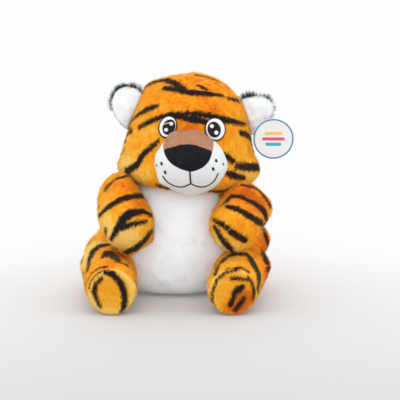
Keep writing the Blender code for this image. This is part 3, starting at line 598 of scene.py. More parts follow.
def sample_skin(obj, count, rng):
    """Random points spread evenly over a mesh, with smooth normals."""
    mesh = obj.data
    mesh.calc_loop_triangles()
    corners = np.empty(len(mesh.loop_triangles) * 3, np.int32)
    mesh.loop_triangles.foreach_get("vertices", corners)
    corners = corners.reshape(-1, 3)
    places, normals = coordinates(mesh), vertex_normals(mesh)
    a, b, c = (places[corners[:, i]] for i in range(3))
    areas = np.linalg.norm(np.cross(b - a, c - a), axis=1)
    chosen = rng.choice(len(corners), size=count, p=areas / areas.sum())
    u, v = rng.random(count), rng.random(count)
    flip = u + v > 1.0
    u[flip], v[flip] = 1.0 - u[flip], 1.0 - v[flip]
    weights = np.stack([1.0 - u - v, u, v], axis=1)[:, :, None]
    picked = corners[chosen]
    return (places[picked] * weights).sum(axis=1), unit((normals[picked] * weights).sum(axis=1))


def write_pile(mesh, first, height, second):
    """Store what the pile's material reads: share of a stripe or of painted shade, height on the strand, and
    tone.
    """
    colours = np.ones((len(mesh.vertices), 4), np.float32)
    colours[:, 0], colours[:, 1], colours[:, 2] = first, height, second
    mesh.color_attributes.new("pile", "FLOAT_COLOR", "POINT").data.foreach_set("color", colours.ravel())


def blades_mesh(name, roots, sides, tips, normals, tone, cells):
    """One three-cornered blade per strand, with the skin's normals and a map cell each."""
    count = len(roots)
    places = np.stack([roots + sides, roots - sides, tips], axis=1)
    mesh = bpy.data.meshes.new(name)
    mesh.vertices.add(3 * count)
    mesh.loops.add(3 * count)
    mesh.loops.foreach_set("vertex_index", np.arange(3 * count, dtype=np.int32))
    mesh.polygons.add(count)
    mesh.polygons.foreach_set("loop_start", np.arange(0, 3 * count, 3, dtype=np.int32))
    mesh.polygons.foreach_set("loop_total", np.full(count, 3, np.int32))
    mesh.vertices.foreach_set("co", places.astype(np.float32).ravel())
    mesh.update(calc_edges=True)
    write_pile(mesh, np.repeat(tone[:, 0], 3), np.tile((0.0, 0.0, 1.0), count), np.repeat(tone[:, 1], 3))
    side = math.ceil(math.sqrt(count))
    cell = np.stack([cells % side, cells // side], axis=1) / side
    corner = np.array([(0.06, 0.06), (0.94, 0.06), (0.5, 0.94)]) / side
    layer = mesh.uv_layers.new(name="OFBake")
    layer.data.foreach_set("uv", (cell[:, None, :] + corner).astype(np.float32).ravel())
    mesh.shade_smooth()
    mesh.normals_split_custom_set_from_vertices(np.repeat(normals, 3, axis=0).astype(np.float32))
    return mesh


def grow_pile(name, skin, spec, comb, tone, seed, spread=None, keep=None, trim=None):
    """Short pile on a skin.

    comb is the way that the pile lies, turned away from the point spread if there is one, tone
    gives each root's two values, keep says which roots carry a strand, and trim scales them.
    """
    count, strand_length, width, lean_deg, loose, rough = spec
    rng = np.random.default_rng(seed)
    roots, normals = sample_skin(skin, count, rng)
    if keep is not None:
        held = keep(roots, normals)
        roots, normals = roots[held], normals[held]
    count = len(roots)
    ways = np.tile(np.array(comb, float), (count, 1))
    if spread is not None:
        ways = ways + unit(roots - np.array(spread))
    ways = unit(ways - normals * (ways * normals).sum(axis=1, keepdims=True))
    across = np.cross(normals, ways)
    swirl = ripple(roots, 0.026, seed + 1) * 0.35 + ripple(roots, 0.006, seed + 2) * 0.18
    swirl += rng.normal(0.0, SWIRL_SPREAD, count)
    ways = ways * np.cos(swirl)[:, None] + across * np.sin(swirl)[:, None]
    across = np.cross(normals, ways)
    lean = math.radians(lean_deg) + ripple(roots, 0.006, seed + 3) * 0.10
    lean = lean + rng.normal(0.0, LEAN_SPREAD, count)
    lean = np.where(rng.random(count) < loose, lean - rng.uniform(*LOOSE_LIFT, count), lean)
    lean = np.clip(lean, *LEAN_LIMITS)
    strands = normals * np.cos(lean)[:, None] + ways * np.sin(lean)[:, None]
    length = strand_length * rng.uniform(*LENGTH_SPREAD, count)
    length = length * (1.0 + 0.12 * ripple(roots, 0.010, seed + 4))
    if trim is not None:
        length *= trim(roots)
    roll = rng.normal(0.0, ROLL_SPREAD, count)
    blade = across * np.cos(roll)[:, None] + np.cross(strands, across) * np.sin(roll)[:, None]
    sunk = roots - normals * PILE_SINK
    tips = sunk + strands * (length + PILE_SINK)[:, None]
    tips[:, 2] = np.maximum(tips[:, 2], FLOOR_GAP)
    facing = unit(normals + rough * rng.normal(size=(count, 3)))
    cells = np.argsort(np.argsort(roots[:, 2], kind="stable"), kind="stable")
    shown = roots + strands * (length * TONE_HEIGHT)[:, None]
    mesh = blades_mesh(name, sunk, blade * (width / 2), tips, facing, tone(shown, rng), cells)
    return add_object(name, mesh)


def striped_tone(marks, field, base, seed):
    """Stripe share and paleness of a pile from its marks and its tone spots."""

    def tone(roots, rng):
        edge = mark_gap(marks, roots) + ripple(roots, 0.004, seed) * 0.0003
        edge += rng.normal(0.0, STRIPE_FUZZ, len(roots))
        stripe = np.clip(0.5 - edge / STRIPE_EDGE, 0.0, 1.0)
        pale = base + field(roots) + 0.11 * ripple(roots, 0.014, seed + 5)
        pale += 0.10 * ripple(roots, 0.0055, seed + 6) + rng.normal(0.0, 0.14, len(roots))
        return np.stack([stripe, np.clip(pale, 0.0, 1.0)], axis=1)

    return tone


def shade(gap, depth, reach):
    """Share of a soft shadow that fades out with the distance from its middle."""
    return depth * np.exp(-(gap / reach) ** 2)


def plain_tone(seed, painted_shade=None):
    """Share of painted shade, none without painted_shade, and tone of a pile of one colour."""

    def tone(roots, rng):
        pale = 0.5 + 0.3 * ripple(roots, 0.012, seed) + rng.normal(0.0, 0.15, len(roots))
        painted_shades = painted_shade(roots) if painted_shade else np.zeros(len(roots))
        return np.stack([painted_shades, np.clip(pale, 0.0, 1.0)], axis=1)

    return tone


def paint_skin(skin, tone, seed):
    """Give the skin under a pile the same marks, as a vertex colour."""
    first, second = tone(coordinates(skin.data), np.random.default_rng(seed)).T
    write_pile(skin.data, first, 0.0, second)


class Nodes:
    """Short way to write the node tree of a material or a world."""

    def __init__(self, owner):
        owner.use_nodes = True
        self.owner = owner
        self.tree = owner.node_tree
        self.shader = self.tree.nodes.get("Principled BSDF")

    def feed(self, socket, value):
        """Give an input an output to read, a number, a vector or a colour."""
        if isinstance(value, bpy.types.NodeSocket):
            self.tree.links.new(value, socket)
        else:
            socket.default_value = (*value, 1.0) if socket.type == "RGBA" else value

    def add(self, kind, inputs=None, **settings):
        """Add a node with its settings and inputs, and return its outputs."""
        node = self.tree.nodes.new("ShaderNode" + kind)
        for key, value in settings.items():
            setattr(node, key, value)
        for key, value in (inputs or {}).items():
            self.feed(node.inputs[key], value)
        return node.outputs

    def place(self):
        """The object's own coordinates."""
        return self.add("TexCoord")["Object"]

    def mix(self, factor, first, second):
        """Mix two colours."""
        return self.add("Mix", {0: factor, 6: first, 7: second}, data_type="RGBA")[2]

    def math(self, operation, first, second=0.0, clamp=False):
        """Maths node."""
        return self.add("Math", {0: first, 1: second}, operation=operation, use_clamp=clamp)[0]

    def ramp(self, value, low, high):
        """Map a value from low..high to 0..1."""
        return self.add("MapRange", {"Value": value, "From Min": low, "From Max": high}, clamp=True)["Result"]

    def noise(self, scale, detail=2.0, roughness=0.5):
        """Noise over the object's own coordinates."""
        inputs = {"Scale": scale, "Detail": detail, "Roughness": roughness, "Vector": self.place()}
        return self.add("TexNoise", inputs)["Fac"]

    def seen_rays(self):
        """1 for rays that show a thing straight or in a gloss, else 0."""
        rays = self.add("LightPath")
        return self.math("MAXIMUM", rays["Is Camera Ray"], rays["Is Glossy Ray"])

    def bump(self, height, strength, distance):
        """Bump from a height output to the shader's normal."""
        bump = self.add("Bump", {"Strength": strength, "Distance": distance, "Height": height})
        self.feed(self.shader.inputs["Normal"], bump["Normal"])

    def finish(self, colour, roughness, sheen=0.0, tint=(1.0, 1.0, 1.0), specular=0.3):
        """Set the shader's colour and surface values, and return the material."""
        values = {"Base Color": colour, "Roughness": roughness, "Sheen Weight": sheen,
                  "Sheen Roughness": 0.5, "Sheen Tint": tint, "Specular IOR Level": specular}
        for key, value in values.items():
            self.feed(self.shader.inputs[key], value)
        return self.owner


def material_nodes(name):
    """Node tree of a new material."""
    return Nodes(bpy.data.materials.new(name))


def pile_values(nodes):
    """The pile's three stored values: stripe or painted shade, height along the strand, and tone."""
    parts = nodes.add("SeparateColor", {"Color": nodes.add("Attribute", attribute_name="pile")["Color"]})
    return parts["Red"], parts["Green"], parts["Blue"]


def striped_plush(name):
    """Orange plush: roots darkened as painted shade and tips lightened as a painted highlight, mottled tone
    and black stripes.
    """
    nodes = material_nodes(name)
    stripe, height, pale = pile_values(nodes)
    mottle = nodes.math("SUBTRACT", nodes.noise(95.0, 3.0, 0.6), 0.5)
    pale = nodes.math("ADD", pale, nodes.math("MULTIPLY", mottle, 0.35), clamp=True)
    colour = RUST
    for low, high, other in PALE_STEPS:
        colour = nodes.mix(nodes.ramp(pale, low, high), colour, other)
    # Darker roots are painted shade and paler tips a painted highlight
    root = nodes.mix(0.10, colour, ROOT_SHADE_ORANGE)
    colour = nodes.mix(height, root, nodes.mix(0.20, colour, TIP_HIGHLIGHT_ORANGE))
    colour = nodes.mix(nodes.ramp(stripe, 0.0, 0.5), colour, MAROON)
    colour = nodes.mix(nodes.ramp(stripe, 0.35, 0.9), colour, nodes.mix(height, STRIPE_ROOT, STRIPE_TIP))
    return nodes.finish(colour, 0.88, sheen=0.15, tint=(1.0, 0.65, 0.25), specular=0.05)


def plain_plush(name, root, tip, mottle_to, shaded, sheen):
    """Plush of one colour: roots darker as painted shade deep in the pile, a soft mottle, and painted shade
    where its stored share asks for it.
    """
    nodes = material_nodes(name)
    painted_shade, height, pale = pile_values(nodes)
    share = nodes.math("MULTIPLY", nodes.math("ADD", pale, nodes.noise(120.0, 3.0, 0.6)), 0.5, clamp=True)
    # Roots darker than tips: painted shade deep in the pile
    colour = nodes.mix(nodes.math("MULTIPLY", share, 0.5), nodes.mix(height, root, tip), mottle_to)
    # Painted shade: mixed towards the shaded colour by the stored share
    return nodes.finish(nodes.mix(painted_shade, colour, shaded), 0.9, sheen=sheen, specular=0.15)


def velour(name, colour, other, sheen=0.25, specular=0.2, patch=None):
    """Smooth short velour: fine grain, slow mottle, soft sheen and perhaps a patch of another colour."""
    nodes = material_nodes(name)
    share = nodes.ramp(nodes.noise(110.0, 4.0, 0.65), 0.35, 0.65)
    fine = nodes.noise(900.0)
    mixed = nodes.mix(share, colour, other)
    mixed = nodes.mix(nodes.math("MULTIPLY", fine, 0.16), mixed, tuple(0.7 * value for value in other))
    if patch:
        zone = nodes.add("Attribute", attribute_name="patch")["Fac"]
        mixed = nodes.mix(nodes.ramp(zone, 0.46, 0.54), mixed, nodes.mix(share, *patch))
    nodes.bump(fine, 0.35, 0.00025)
    return nodes.finish(mixed, 0.82, sheen=sheen, tint=colour, specular=specular)


def thread(name, colour, other, turn_deg=35.0, pitch=0.00042, specular=0.4):
    """Satin stitches: fine parallel threads with their own gloss."""
    nodes = material_nodes(name)
    turned = nodes.add("Mapping", {"Vector": nodes.place(), "Rotation": (0.0, math.radians(turn_deg), 0.0)})
    inputs = {"Vector": turned["Vector"], "Scale": 1.0 / pitch / math.tau, "Distortion": 0.6, "Detail": 1.0}
    wave = nodes.add("TexWave", inputs, wave_type="BANDS", bands_direction="X")["Fac"]
    nodes.bump(wave, 0.5, 0.00015)
    return nodes.finish(nodes.mix(wave, other, colour), 0.5, sheen=0.05, specular=specular)


def card_print():
    """White card with a blue ring at its rim and three plain bars."""
    low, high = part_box("hang_tag")
    centre = (low + high) / 2
    radius = (high.x - low.x) / 2
    nodes = material_nodes("tag_card")
    flat = nodes.add("Mapping", {"Vector": nodes.place(), "Scale": (1.0, 0.0, 1.0),
                                 "Location": (-centre.x, 0.0, -centre.z)})["Vector"]
    parts = nodes.add("SeparateXYZ", {0: flat})
    across = nodes.math("ABSOLUTE", parts["X"])
    colour = CARD_WHITE
    for offset, half_length, tint in TAG_BARS:
        up = nodes.math("SUBTRACT", parts["Z"], offset)
        reach = nodes.math("MAXIMUM", nodes.math("SUBTRACT", across, half_length), 0.0)
        squares = nodes.math("ADD", nodes.math("MULTIPLY", reach, reach), nodes.math("MULTIPLY", up, up))
        colour = nodes.mix(nodes.ramp(nodes.math("SQRT", squares), 0.00165, 0.00150), colour, tint)
    reach = nodes.add("VectorMath", {0: flat}, operation="LENGTH")["Value"]
    ring_in = nodes.ramp(reach, radius - 0.0017, radius - 0.0015)
    ring_out = nodes.ramp(reach, radius - 0.0001, radius - 0.0003)
    ring = nodes.math("MULTIPLY", ring_in, ring_out)
    return nodes.finish(nodes.mix(ring, colour, CARD_BLUE), 0.45, specular=0.4)


def clear_nylon():
    """Clear filament with faint streaks."""
    nodes = material_nodes("clear_nylon")
    nodes.feed(nodes.shader.inputs["Transmission Weight"], 0.6)
    colour = nodes.mix(nodes.noise(400.0), (0.85, 0.85, 0.86), (0.95, 0.95, 0.95))
    return nodes.finish(colour, 0.25, specular=0.5)


# Blender adds a number to a material's name when the frame uses that name already
MATERIALS = {material.name.partition(".")[0]: material for material in (
    striped_plush("orange_plush"),
    # Plain plush colours: root, tip, mottle and painted shade, then sheen; the darker roots are painted shade
    # deep in the pile
    plain_plush("white_plush", (0.89, 0.92, 0.95), (0.945, 0.97, 0.99), (0.955, 0.98, 0.995),
                (0.60, 0.52, 0.55), 0.25),
    plain_plush("black_plush", (0.010, 0.010, 0.012), (0.035, 0.035, 0.04), (0.06, 0.06, 0.065),
                (0.06, 0.06, 0.065), 0.1),
    velour("white_velour", (0.725, 0.745, 0.755), (0.755, 0.775, 0.785), patch=BROWNS),
    velour("brown_velour", *BROWNS),
    velour("black_velour", (0.008, 0.008, 0.011), (0.013, 0.013, 0.017), sheen=0.06, specular=0.1),
    thread("black_thread", (0.012, 0.012, 0.014), (0.006, 0.006, 0.007), specular=0.15),
    thread("white_thread", (0.88, 0.88, 0.89), (0.72, 0.72, 0.74), turn_deg=-35.0),
)}


def set_material(obj, material):
    """Give an object one material."""
    obj.data.materials.clear()
    obj.data.materials.append(material)


def dress(piece, look, body, nodes=(), blend=None):
    """Give a piece its material, attach it to its body or bake its transform where a blend is given, and hide
    the parts that it replaces.
    """
    set_material(piece, MATERIALS[look])
    if blend:
        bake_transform(piece)
    else:
        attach(piece, body)
    if nodes:
        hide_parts(*nodes)


def second_look(skin, look, chosen):
    """Give the chosen faces of a dressed skin another material."""
    skin.data.materials.append(MATERIALS[look])
    skin.data.polygons.foreach_set("material_index", chosen.astype(np.int32))


def striped_cover(skin, tone, seed, spec, comb, body, nodes, fill=0.8, name=None, blend=None, **growth):
    """Paint a skin with its stripes, grow its orange pile and dress both."""
    paint_skin(skin, tone, seed)
    pile = grow_pile(name or skin.name.replace("plush", "pile"), skin, spec, comb, tone, seed + 1, **growth)
    dress(skin, "orange_plush", body, nodes, blend)
    dress(pile, "orange_plush", body, blend=blend)


def make_camera():
    """Camera at the photograph's angle, whose frame is 0.4 m wide at the toy."""
    data = bpy.data.cameras.new("camera")
    data.sensor_width = 36.0
    data.lens = data.sensor_width * VIEW_DISTANCE / (2 * PHOTO_MIDDLE * PIXEL)
    camera = add_object("camera", data)
    camera.location = EYE_POINT
    camera.rotation_euler = (math.radians(90.0 - VIEW_ELEVATION_DEG), 0.0, 0.0)
    bpy.context.scene.camera = camera


def make_floor():
    """Pale floor, darker in front and paler behind as painted light, that turns to plain white further away
    and keeps the toy's shadow.
    """
    bm = bmesh.new()
    bmesh.ops.create_grid(bm, x_segments=1, y_segments=1, size=6.0)
    floor = object_of("floor", bm)
    nodes = material_nodes("floor_paper")
    place = nodes.place()
    depth = nodes.add("SeparateXYZ", {0: place})["Y"]
    reach = nodes.add("VectorMath", {0: place}, operation="LENGTH")["Value"]
    white = nodes.math("MAXIMUM", nodes.ramp(depth, -0.10, 0.55), nodes.ramp(reach, 0.7, 1.5))
    # Painted light: the floor darkens towards the front
    colour = nodes.mix(nodes.ramp(depth, -0.6, 0.1), FLOOR_FRONT_SHADED, FLOOR_BACK_LIT)
    colour = nodes.mix(nodes.math("MULTIPLY", nodes.noise(60.0, 3.0), 0.05), colour, (0.6, 0.6, 0.6))
    nodes.finish(colour, 0.9, specular=0.1)
    glow = nodes.add("Emission", {"Color": (0.99, 0.99, 0.99)})["Emission"]
    mixed = nodes.add("MixShader", {0: nodes.math("MULTIPLY", white, nodes.seen_rays()),
                                    1: nodes.shader.outputs["BSDF"], 2: glow})
    nodes.feed(nodes.tree.nodes["Material Output"].inputs["Surface"], mixed["Shader"])
    set_material(floor, nodes.owner)


def make_light():
    """Soft studio light: pale world and large lamps above, in front, at both sides and behind."""
    nodes = Nodes(bpy.data.worlds.new("studio"))
    bpy.context.scene.world = nodes.owner
    strength = nodes.add("MapRange", {"Value": nodes.seen_rays(), "To Min": WORLD_LIGHT, "To Max": 1.0})
    sky = nodes.tree.nodes["Background"].inputs
    nodes.feed(sky["Color"], WORLD_TINT)
    nodes.feed(sky["Strength"], strength["Result"])
    for name, place, size, power in LAMPS:
        data = bpy.data.lights.new(name, "AREA")
        data.shape = "DISK"
        data.size = size
        data.energy = power
        lamp = add_object(name, data)
        lamp.location = place
        lamp.rotation_euler = (LAMP_TARGET - Vector(place)).to_track_quat("-Z", "Y").to_euler()
    bpy.context.scene.view_settings.view_transform = "Standard"


def build_head():
    """Head skin with its striped pile. Returns the skin's search tree."""
    skin = soft_skin("head_plush", ["head_stuffing"], 0.0026, 12, HEAD_PULLS)
    tree = surface_of(skin)
    rings = ring_samples(tree, NECK, NECK_AXIS, -Y_AXIS, HEAD_RINGS, 31)
    marks = marks_of(stroke_samples(tree, HEAD_STROKES), rings)
    tone = striped_tone(marks, tone_field(tree, HEAD_TONES), PALENESS, 32)
    striped_cover(skin, tone, 33, HEAD_PILE, (0.0, 0.35, -0.8), "head", ("head_cover", "head_stuffing"), 0.9,
                  spread=NECK + NECK_AXIS * CROWN_HEIGHT)
    return tree


def smooth_line(points, closed=False):
    """Points along a smooth curve through given pixels."""
    count = len(points)
    line = []
    for span in range(count if closed else count - 1):
        around = range(span - 1, span + 3)
        around = [index % count if closed else min(max(index, 0), count - 1) for index in around]
        a, b, c, d = (np.array(points[index], float) for index in around)
        for t in np.arange(CURVE_STEPS) / CURVE_STEPS:
            line.append(0.5 * (2 * b + (c - a) * t + (2 * a - 5 * b + 4 * c - d) * t * t
                               + (3 * b - a - 3 * c + d) * t ** 3))
    return line if closed else line + [np.array(points[-1], float)]


def oval(centre, radii, turn_deg, count=48):
    """Pixels round an oval whose top leans by turn_deg to the photograph's right."""
    turn = math.radians(turn_deg)
    angles = math.tau * np.arange(count) / count
    x, y = radii[0] * np.cos(angles), radii[1] * np.sin(angles)
    return list(np.stack([centre[0] + x * math.cos(turn) - y * math.sin(turn),
                          centre[1] + x * math.sin(turn) + y * math.cos(turn)], axis=1))


def raised(tree, pixel, height, near=None):
    """Point over the surface under a pixel, raised towards the camera so that it keeps its pixel."""
    hit, normal = cast(tree, *pixel, near=near)
    way = photo_ray(*pixel)[1]
    return hit - way * (height / max(LEAST_FACING_LIFT, -normal.dot(way)))


def panel(name, tree, outline, bulge, look, nodes=(), lift=0.0003, rings=10, skirt=0.0009):
    """Sewn or stitched panel on the head: a puffed sheet inside an outline, with its edge turned in."""
    middle = sum(outline) / len(outline)
    hub, hub_normal = cast(tree, *middle)
    bm = bmesh.new()
    centre = bm.verts.new(raised(tree, middle, lift + bulge))
    last = None
    for share, drop in [((ring + 1) / rings, 0.0) for ring in range(rings)] + [(1.0, skirt)]:
        height = lift + bulge * (1.0 - share ** 4) - drop
        spots = [raised(tree, middle + (spot - middle) * share, height, near=hub) for spot in outline]
        ring = [bm.verts.new(spot) for spot in spots]
        for index, vert in enumerate(ring):
            after = (index + 1) % len(ring)
            corners = (last[index], vert, ring[after], last[after]) if last else (centre, vert, ring[after])
            bm.faces.new(corners)
        last = ring
    bmesh.ops.recalc_face_normals(bm, faces=bm.faces)
    centre.normal_update()
    if centre.normal.dot(hub_normal) < 0:
        bmesh.ops.reverse_faces(bm, faces=bm.faces)
    dress(object_of(name, bm), look, "head", nodes)


def thread_line(name, tree, pixels, radius, look, lift=0.0002):
    """Round thread stitched along a line of pixels."""
    curve = bpy.data.curves.new(name, "CURVE")
    curve.dimensions = "3D"
    spline = curve.splines.new("POLY")
    line = smooth_line(pixels)
    spline.points.add(len(line) - 1)
    for point, pixel in zip(spline.points, line):
        point.co = (*raised(tree, pixel, lift), 1.0)
    curve.bevel_depth = radius
    curve.bevel_resolution = 3
    curve.use_fill_caps = True
    dress(add_object(name, curve), look, "head")


def build_muzzle():
    """Velour muzzle with its nose, bridge, mouth lines and whisker dots."""
    skin = soft_skin("muzzle_plush", ["muzzle_stuffing"], 0.0018, 8, MUZZLE_PULLS)
    tree = surface_of(skin)
    across, down = photo_pixels(coordinates(skin.data))
    left, right, slant_start, lower = BROWN_ZONE
    slant = 0.2 * np.maximum(down - slant_start, 0.0)
    inside = np.minimum.reduce([across - left, right - slant - across, lower - down])
    patch = skin.data.attributes.new("patch", "FLOAT", "POINT")
    patch.data.foreach_set("value", np.clip(0.5 + inside / 8, 0.0, 1.0).astype(np.float32))
    dress(skin, "white_velour", "head", ("muzzle_cover", "muzzle_stuffing"))
    bridge, nose = (smooth_line(outline, closed=True) for outline in (BRIDGE_OUTLINE, NOSE_OUTLINE))
    panel("bridge_plush", tree, bridge, 0.0010, "brown_velour", ("nose_bridge",))
    panel("nose_plush", tree, nose, 0.0026, "black_velour", ("nose",), lift=0.0006)
    for index, line in enumerate(MOUTH_LINES):
        thread_line("mouth_thread_%d" % index, tree, line, 0.00064 if index else 0.00078, "black_thread")
    for index, (px, py, *radii) in enumerate(MUZZLE_DOTS):
        dot = oval((px, py), radii, -12.0, 20)
        panel("whisker_dot_%d" % index, tree, dot, 0.0004, "black_thread", rings=4)


def build_eyes(tree):
    """Flat stitched eyes: black rim, white, pupil and glints."""
    for side, (centre, radii, lean, pupil, pupil_radii, pupil_lean, glints) in EYE_OUTLINES.items():
        white = oval((centre[0] + 0.1, centre[1] - 0.2), (radii[0] - 1.2, radii[1] - 1.2), lean)
        dark = oval(pupil, pupil_radii, pupil_lean)
        panel("eye_rim_" + side, tree, oval(centre, radii, lean), 0.0003, "black_thread",
              ("eye_patch_" + side,), lift=0.0020, skirt=0.003)
        panel("eye_white_plush_" + side, tree, white, 0.0005, "white_thread", ("eye_white_" + side,),
              lift=0.0024, skirt=0.0005)
        panel("eye_pupil_plush_" + side, tree, dark, 0.0006, "black_thread", ("eye_pupil_" + side,),
              lift=0.0031, skirt=0.0005)
        for place, (px, py, radius) in zip(("upper", "lower"), glints):
            name = side + "_" + place
            glint = oval((px, py), (radius, radius), 0.0, 24)
            panel("eye_glint_plush_" + name, tree, glint, 0.0003, "white_thread", ("eye_glint_" + name,),
                  lift=0.0039, rings=4, skirt=0.0004)
    thread_line("eye_pale_line", tree, EYE_LINE, 0.00034, "white_thread", lift=0.0038)


def build_ear(side, sign, head_tree):
    """Ear with a smooth white front, a black back and a long black fringe on its upper rim."""
    nodes = ("ear_front_" + side, "ear_back_" + side)
    skin = soft_skin("ear_plush_" + side, nodes, 0.0016, 6, EAR_PULLS[side], grow=0.0)
    centre = Vector(coordinates(skin.data).mean(axis=0))
    base = np.array(Vector((centre.x - sign * EAR_BASE[0], centre.y, centre.z - EAR_BASE[1])))
    outside = clear_of(head_tree)

    def on_rim(roots, normals):
        turn = np.degrees(np.arctan2(roots[:, 2] - centre.z, (roots[:, 0] - centre.x) * sign))
        turn += 6.0 * ripple(roots, 0.004, 96)
        chance = np.random.default_rng(95).random(len(roots))
        chosen = np.zeros(len(roots), bool)
        for first, last, share in EAR_FRINGES[side]:
            chosen |= (turn > first) & (turn < last) & (chance < share)
        return chosen & (np.abs(normals[:, 1] - 0.20) < 0.5) & outside(roots)

    def fringe_length(roots):
        return 1.0 + 0.45 * np.clip((centre.x - roots[:, 0]) * sign / 0.012, 0.0, 1.0)

    # Painted shade near the ear's base, where it meets the head
    white_tone = plain_tone(92, lambda roots: shade(np.linalg.norm(roots - base, axis=1), *EAR_SHADE))
    front = grow_pile("ear_pile_" + side, skin, EAR_PILE, (0.0, -0.3, 0.2), white_tone, 92, spread=centre,
                      keep=lambda roots, normals: (normals[:, 1] < 0.5) & outside(roots))
    back = grow_pile("ear_back_pile_" + side, skin, EAR_BACK_PILE, (0.0, 0.0, -1.0), plain_tone(93), 93,
                     keep=lambda roots, normals: (normals[:, 1] > 0.5) & outside(roots))
    fringe = grow_pile("ear_fringe_" + side, skin, EAR_FRINGE, (sign * 0.3, 0.15, 0.5), plain_tone(94), 94,
                       spread=centre, keep=on_rim, trim=fringe_length)
    paint_skin(skin, white_tone, 91)
    dress(skin, "white_plush", "head", nodes)
    second_look(skin, "black_plush", rows_of(skin.data.polygons, "normal")[:, 1] > 0.5)
    dress(front, "white_plush", "head")
    dress(back, "black_plush", "head")
    dress(fringe, "black_plush", "head")


def on_belly(points):
    """Whether points lie inside the white belly's oval on the torso's front."""
    low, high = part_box("belly_panel")
    across = (points[:, 0] / ((high.x - low.x) / 2)) ** 2
    across += ((points[:, 2] - BELLY_MIDDLE_HEIGHT) / BELLY_HALF_HEIGHT) ** 2
    return (across < 1.0) & (points[:, 1] < high.y)


def build_torso():
    """Torso skin with a striped back and a white belly, and a pile for each. Returns its search tree."""
    skin = soft_skin("torso_plush", ["torso_stuffing"], 0.0028, 12, TORSO_PULLS)
    tree = surface_of(skin)
    rings = ring_samples(tree, Vector(), Z_AXIS, -Y_AXIS, TORSO_RINGS, 41)
    marks = marks_of(stroke_samples(tree, TORSO_STROKES), rings)
    tone = striped_tone(marks, tone_field(tree, TORSO_TONES), PALENESS, 42)
    striped_cover(skin, tone, 43, BACK_PILE, (0.0, 0.25, -1.0), "torso",
                  ("torso_back_cover", "torso_stuffing"), 0.9, name="back_pile",
                  keep=lambda roots, normals: ~on_belly(roots))
    second_look(skin, "white_plush", on_belly(rows_of(skin.data.polygons, "center")))
    # Painted shade along the belly's creases
    painted_shades = marks_of(stroke_samples(tree, BELLY_FOLD_SHADOWS))
    fold_shadow_tone = plain_tone(46, lambda roots: shade(np.maximum(mark_gap(painted_shades, roots), 0.0), *BELLY_SHADE))
    belly = grow_pile("belly_pile", skin, BELLY_PILE, (0.0, -0.2, -1.0), fold_shadow_tone, 45,
                      keep=lambda roots, normals: on_belly(roots))
    dress(belly, "white_plush", "torso", ("belly_panel",))
    return tree


def finish_limb(skin, kind, side, sign, torso_tree, heights, bend, bare=None):
    """Set a limb's skin into the torso, and give it stripes and pile.

    heights are those of the rings' axis and of the bend, bend is how far in front of the limb's
    back end the bend starts and how long it is, and bare says which roots carry no strand.
    """
    relax, along, base, seed, strokes, tones, spec, comb = LIMBS[kind]
    body = kind + "_" + side
    bury(skin, torso_tree)
    skin = smoothed(skin, skin.name, relax)
    tree = surface_of(skin)
    low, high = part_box(kind + "_cover_" + side)
    across = (low.x + high.x) / 2
    rings = ring_samples(tree, Vector((across, low.y, heights[0])), Y_AXIS, X_AXIS, along, seed + int(sign))
    marks = marks_of(stroke_samples(tree, strokes[side]), rings)
    tone = striped_tone(marks, tone_field(tree, tones[side]), base, seed + 1)
    outside = clear_of(torso_tree)

    def keep(roots, normals):
        held = outside(roots)
        return held & ~bare(roots) if bare else held

    start = Vector((across, high.y - bend[0], heights[1]))
    nodes = (kind + "_cover_" + side, kind + "_stuffing_" + side)
    striped_cover(skin, tone, seed + 2, spec, comb, body, nodes,
                  blend=("torso", body, start, start - Y_AXIS * bend[1]), keep=keep)


def build_arm(side, sign, torso_tree):
    """Arm skin and pile, pulled up over the shoulder and set into the torso."""
    skin = soft_skin("arm_plush_" + side, ["arm_stuffing_" + side], 0.0024, 10)
    low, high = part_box("arm_cover_" + side)
    middle = (low + high) / 2
    shoulder_top = Vector((middle.x + sign * 0.004, high.y - 0.030, high.z))
    pull(skin, shoulder_top, SHOULDER_PULL_RADIUS, SHOULDER_PULL)
    shape(skin, ARM_PULLS[side])
    finish_limb(skin, "arm", side, sign, torso_tree, (middle.z, middle.z), (0.012, 0.022))


def build_leg(side, sign, torso_tree):
    """Leg skin with its sole pad and their piles, set into the torso at the hip."""
    skin = soft_skin("leg_plush_" + side, ["leg_stuffing_" + side], 0.0024, 8, LEG_PULLS[side])
    low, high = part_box("sole_panel_" + side)
    centre = (low + high) / 2
    radius = (high.x - low.x) / 2

    def on_sole_or_floor(roots):
        round_gap = np.hypot(roots[:, 0] - centre.x, roots[:, 2] - centre.z)
        return (round_gap < radius) & (roots[:, 1] < low.y + 0.004) | (roots[:, 2] <= 0.0006)

    finish_limb(skin, "leg", side, sign, torso_tree, (0.022, 0.020), (0.004, 0.030), on_sole_or_floor)
    build_sole(side, centre, radius, low.y)


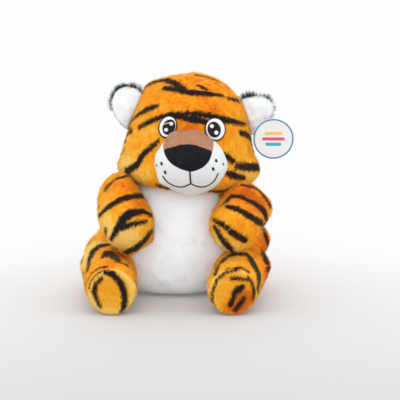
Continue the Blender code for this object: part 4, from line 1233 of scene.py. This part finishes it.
def build_sole(side, centre, radius, front):
    """Low padded disc on the leg's end, with its own pile."""
    bm = bmesh.new()
    bmesh.ops.create_icosphere(bm, subdivisions=6, radius=1.0)
    for vert in bm.verts:
        x, y, z = vert.co
        vert.co = Vector((centre.x + x * radius, front + 0.0005 - z * SOLE_BULGE, centre.z + y * radius))
    bmesh.ops.recalc_face_normals(bm, faces=bm.faces)
    skin = object_of("sole_plush_" + side, bm)
    tree = surface_of(skin)
    spots = tone_field(tree, SOLE_TONES[side])

    def field(points):
        reach = np.hypot(points[:, 0] - centre.x, points[:, 2] - centre.z) / radius
        return spots(points) + 0.35 * np.clip((reach - 0.72) / 0.22, 0.0, 1.0)

    tone = striped_tone(marks_of(stroke_samples(tree, SOLE_STROKES[side])), field, SOLE_PALENESS[side], 72)
    striped_cover(skin, tone, 73, SOLE_PILE, (0.0, 0.0, -1.0), "leg_" + side, ("sole_panel_" + side,),
                  keep=lambda roots, normals: normals[:, 1] < -0.02)


def build_tail():
    """Striped tail with a black tip."""
    skin = soft_skin("tail_plush", ["tail"], 0.0016, 4, grow=-0.0004)
    tree = surface_of(skin)
    root = Vector(JOINTS["tail_root"]["pos_m"])
    drop = Z_AXIS * (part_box("tail")[0].z + TAIL_RADIUS - root.z) * 0.5
    points, halves = [], []
    for turn_deg, width in TAIL_RINGS:
        turn = math.radians(turn_deg)
        out = Vector((-math.cos(turn), math.sin(turn), 0.0))
        centre = root + (X_AXIS + out) * TAIL_BEND_RADIUS + drop
        along = Vector((math.sin(turn), math.cos(turn), 0.0))
        for step in range(48):
            way = Matrix.Rotation(math.tau * step / 48, 3, along) @ Z_AXIS
            points.append(tree.find_nearest(centre + way * 0.009)[0])
            halves.append(width / 2)
    tone = striped_tone(marks_of((points, halves)), lambda spots: np.zeros(len(spots)), PALENESS, 82)
    striped_cover(skin, tone, 83, TAIL_PILE, (0.5, 0.8, -0.3), "tail", ("tail",), 0.9)


make_camera()
make_floor()
make_light()
head_tree = build_head()
torso_tree = build_torso()
for SIDE, SIGN in SIDES:
    build_arm(SIDE, SIGN, torso_tree)
    build_leg(SIDE, SIGN, torso_tree)
build_tail()
build_muzzle()
build_eyes(head_tree)
for SIDE, SIGN in SIDES:
    build_ear(SIDE, SIGN, head_tree)
set_material(frame["nodes"]["hang_tag"], card_print())
set_material(frame["nodes"]["tag_filament"], clear_nylon())
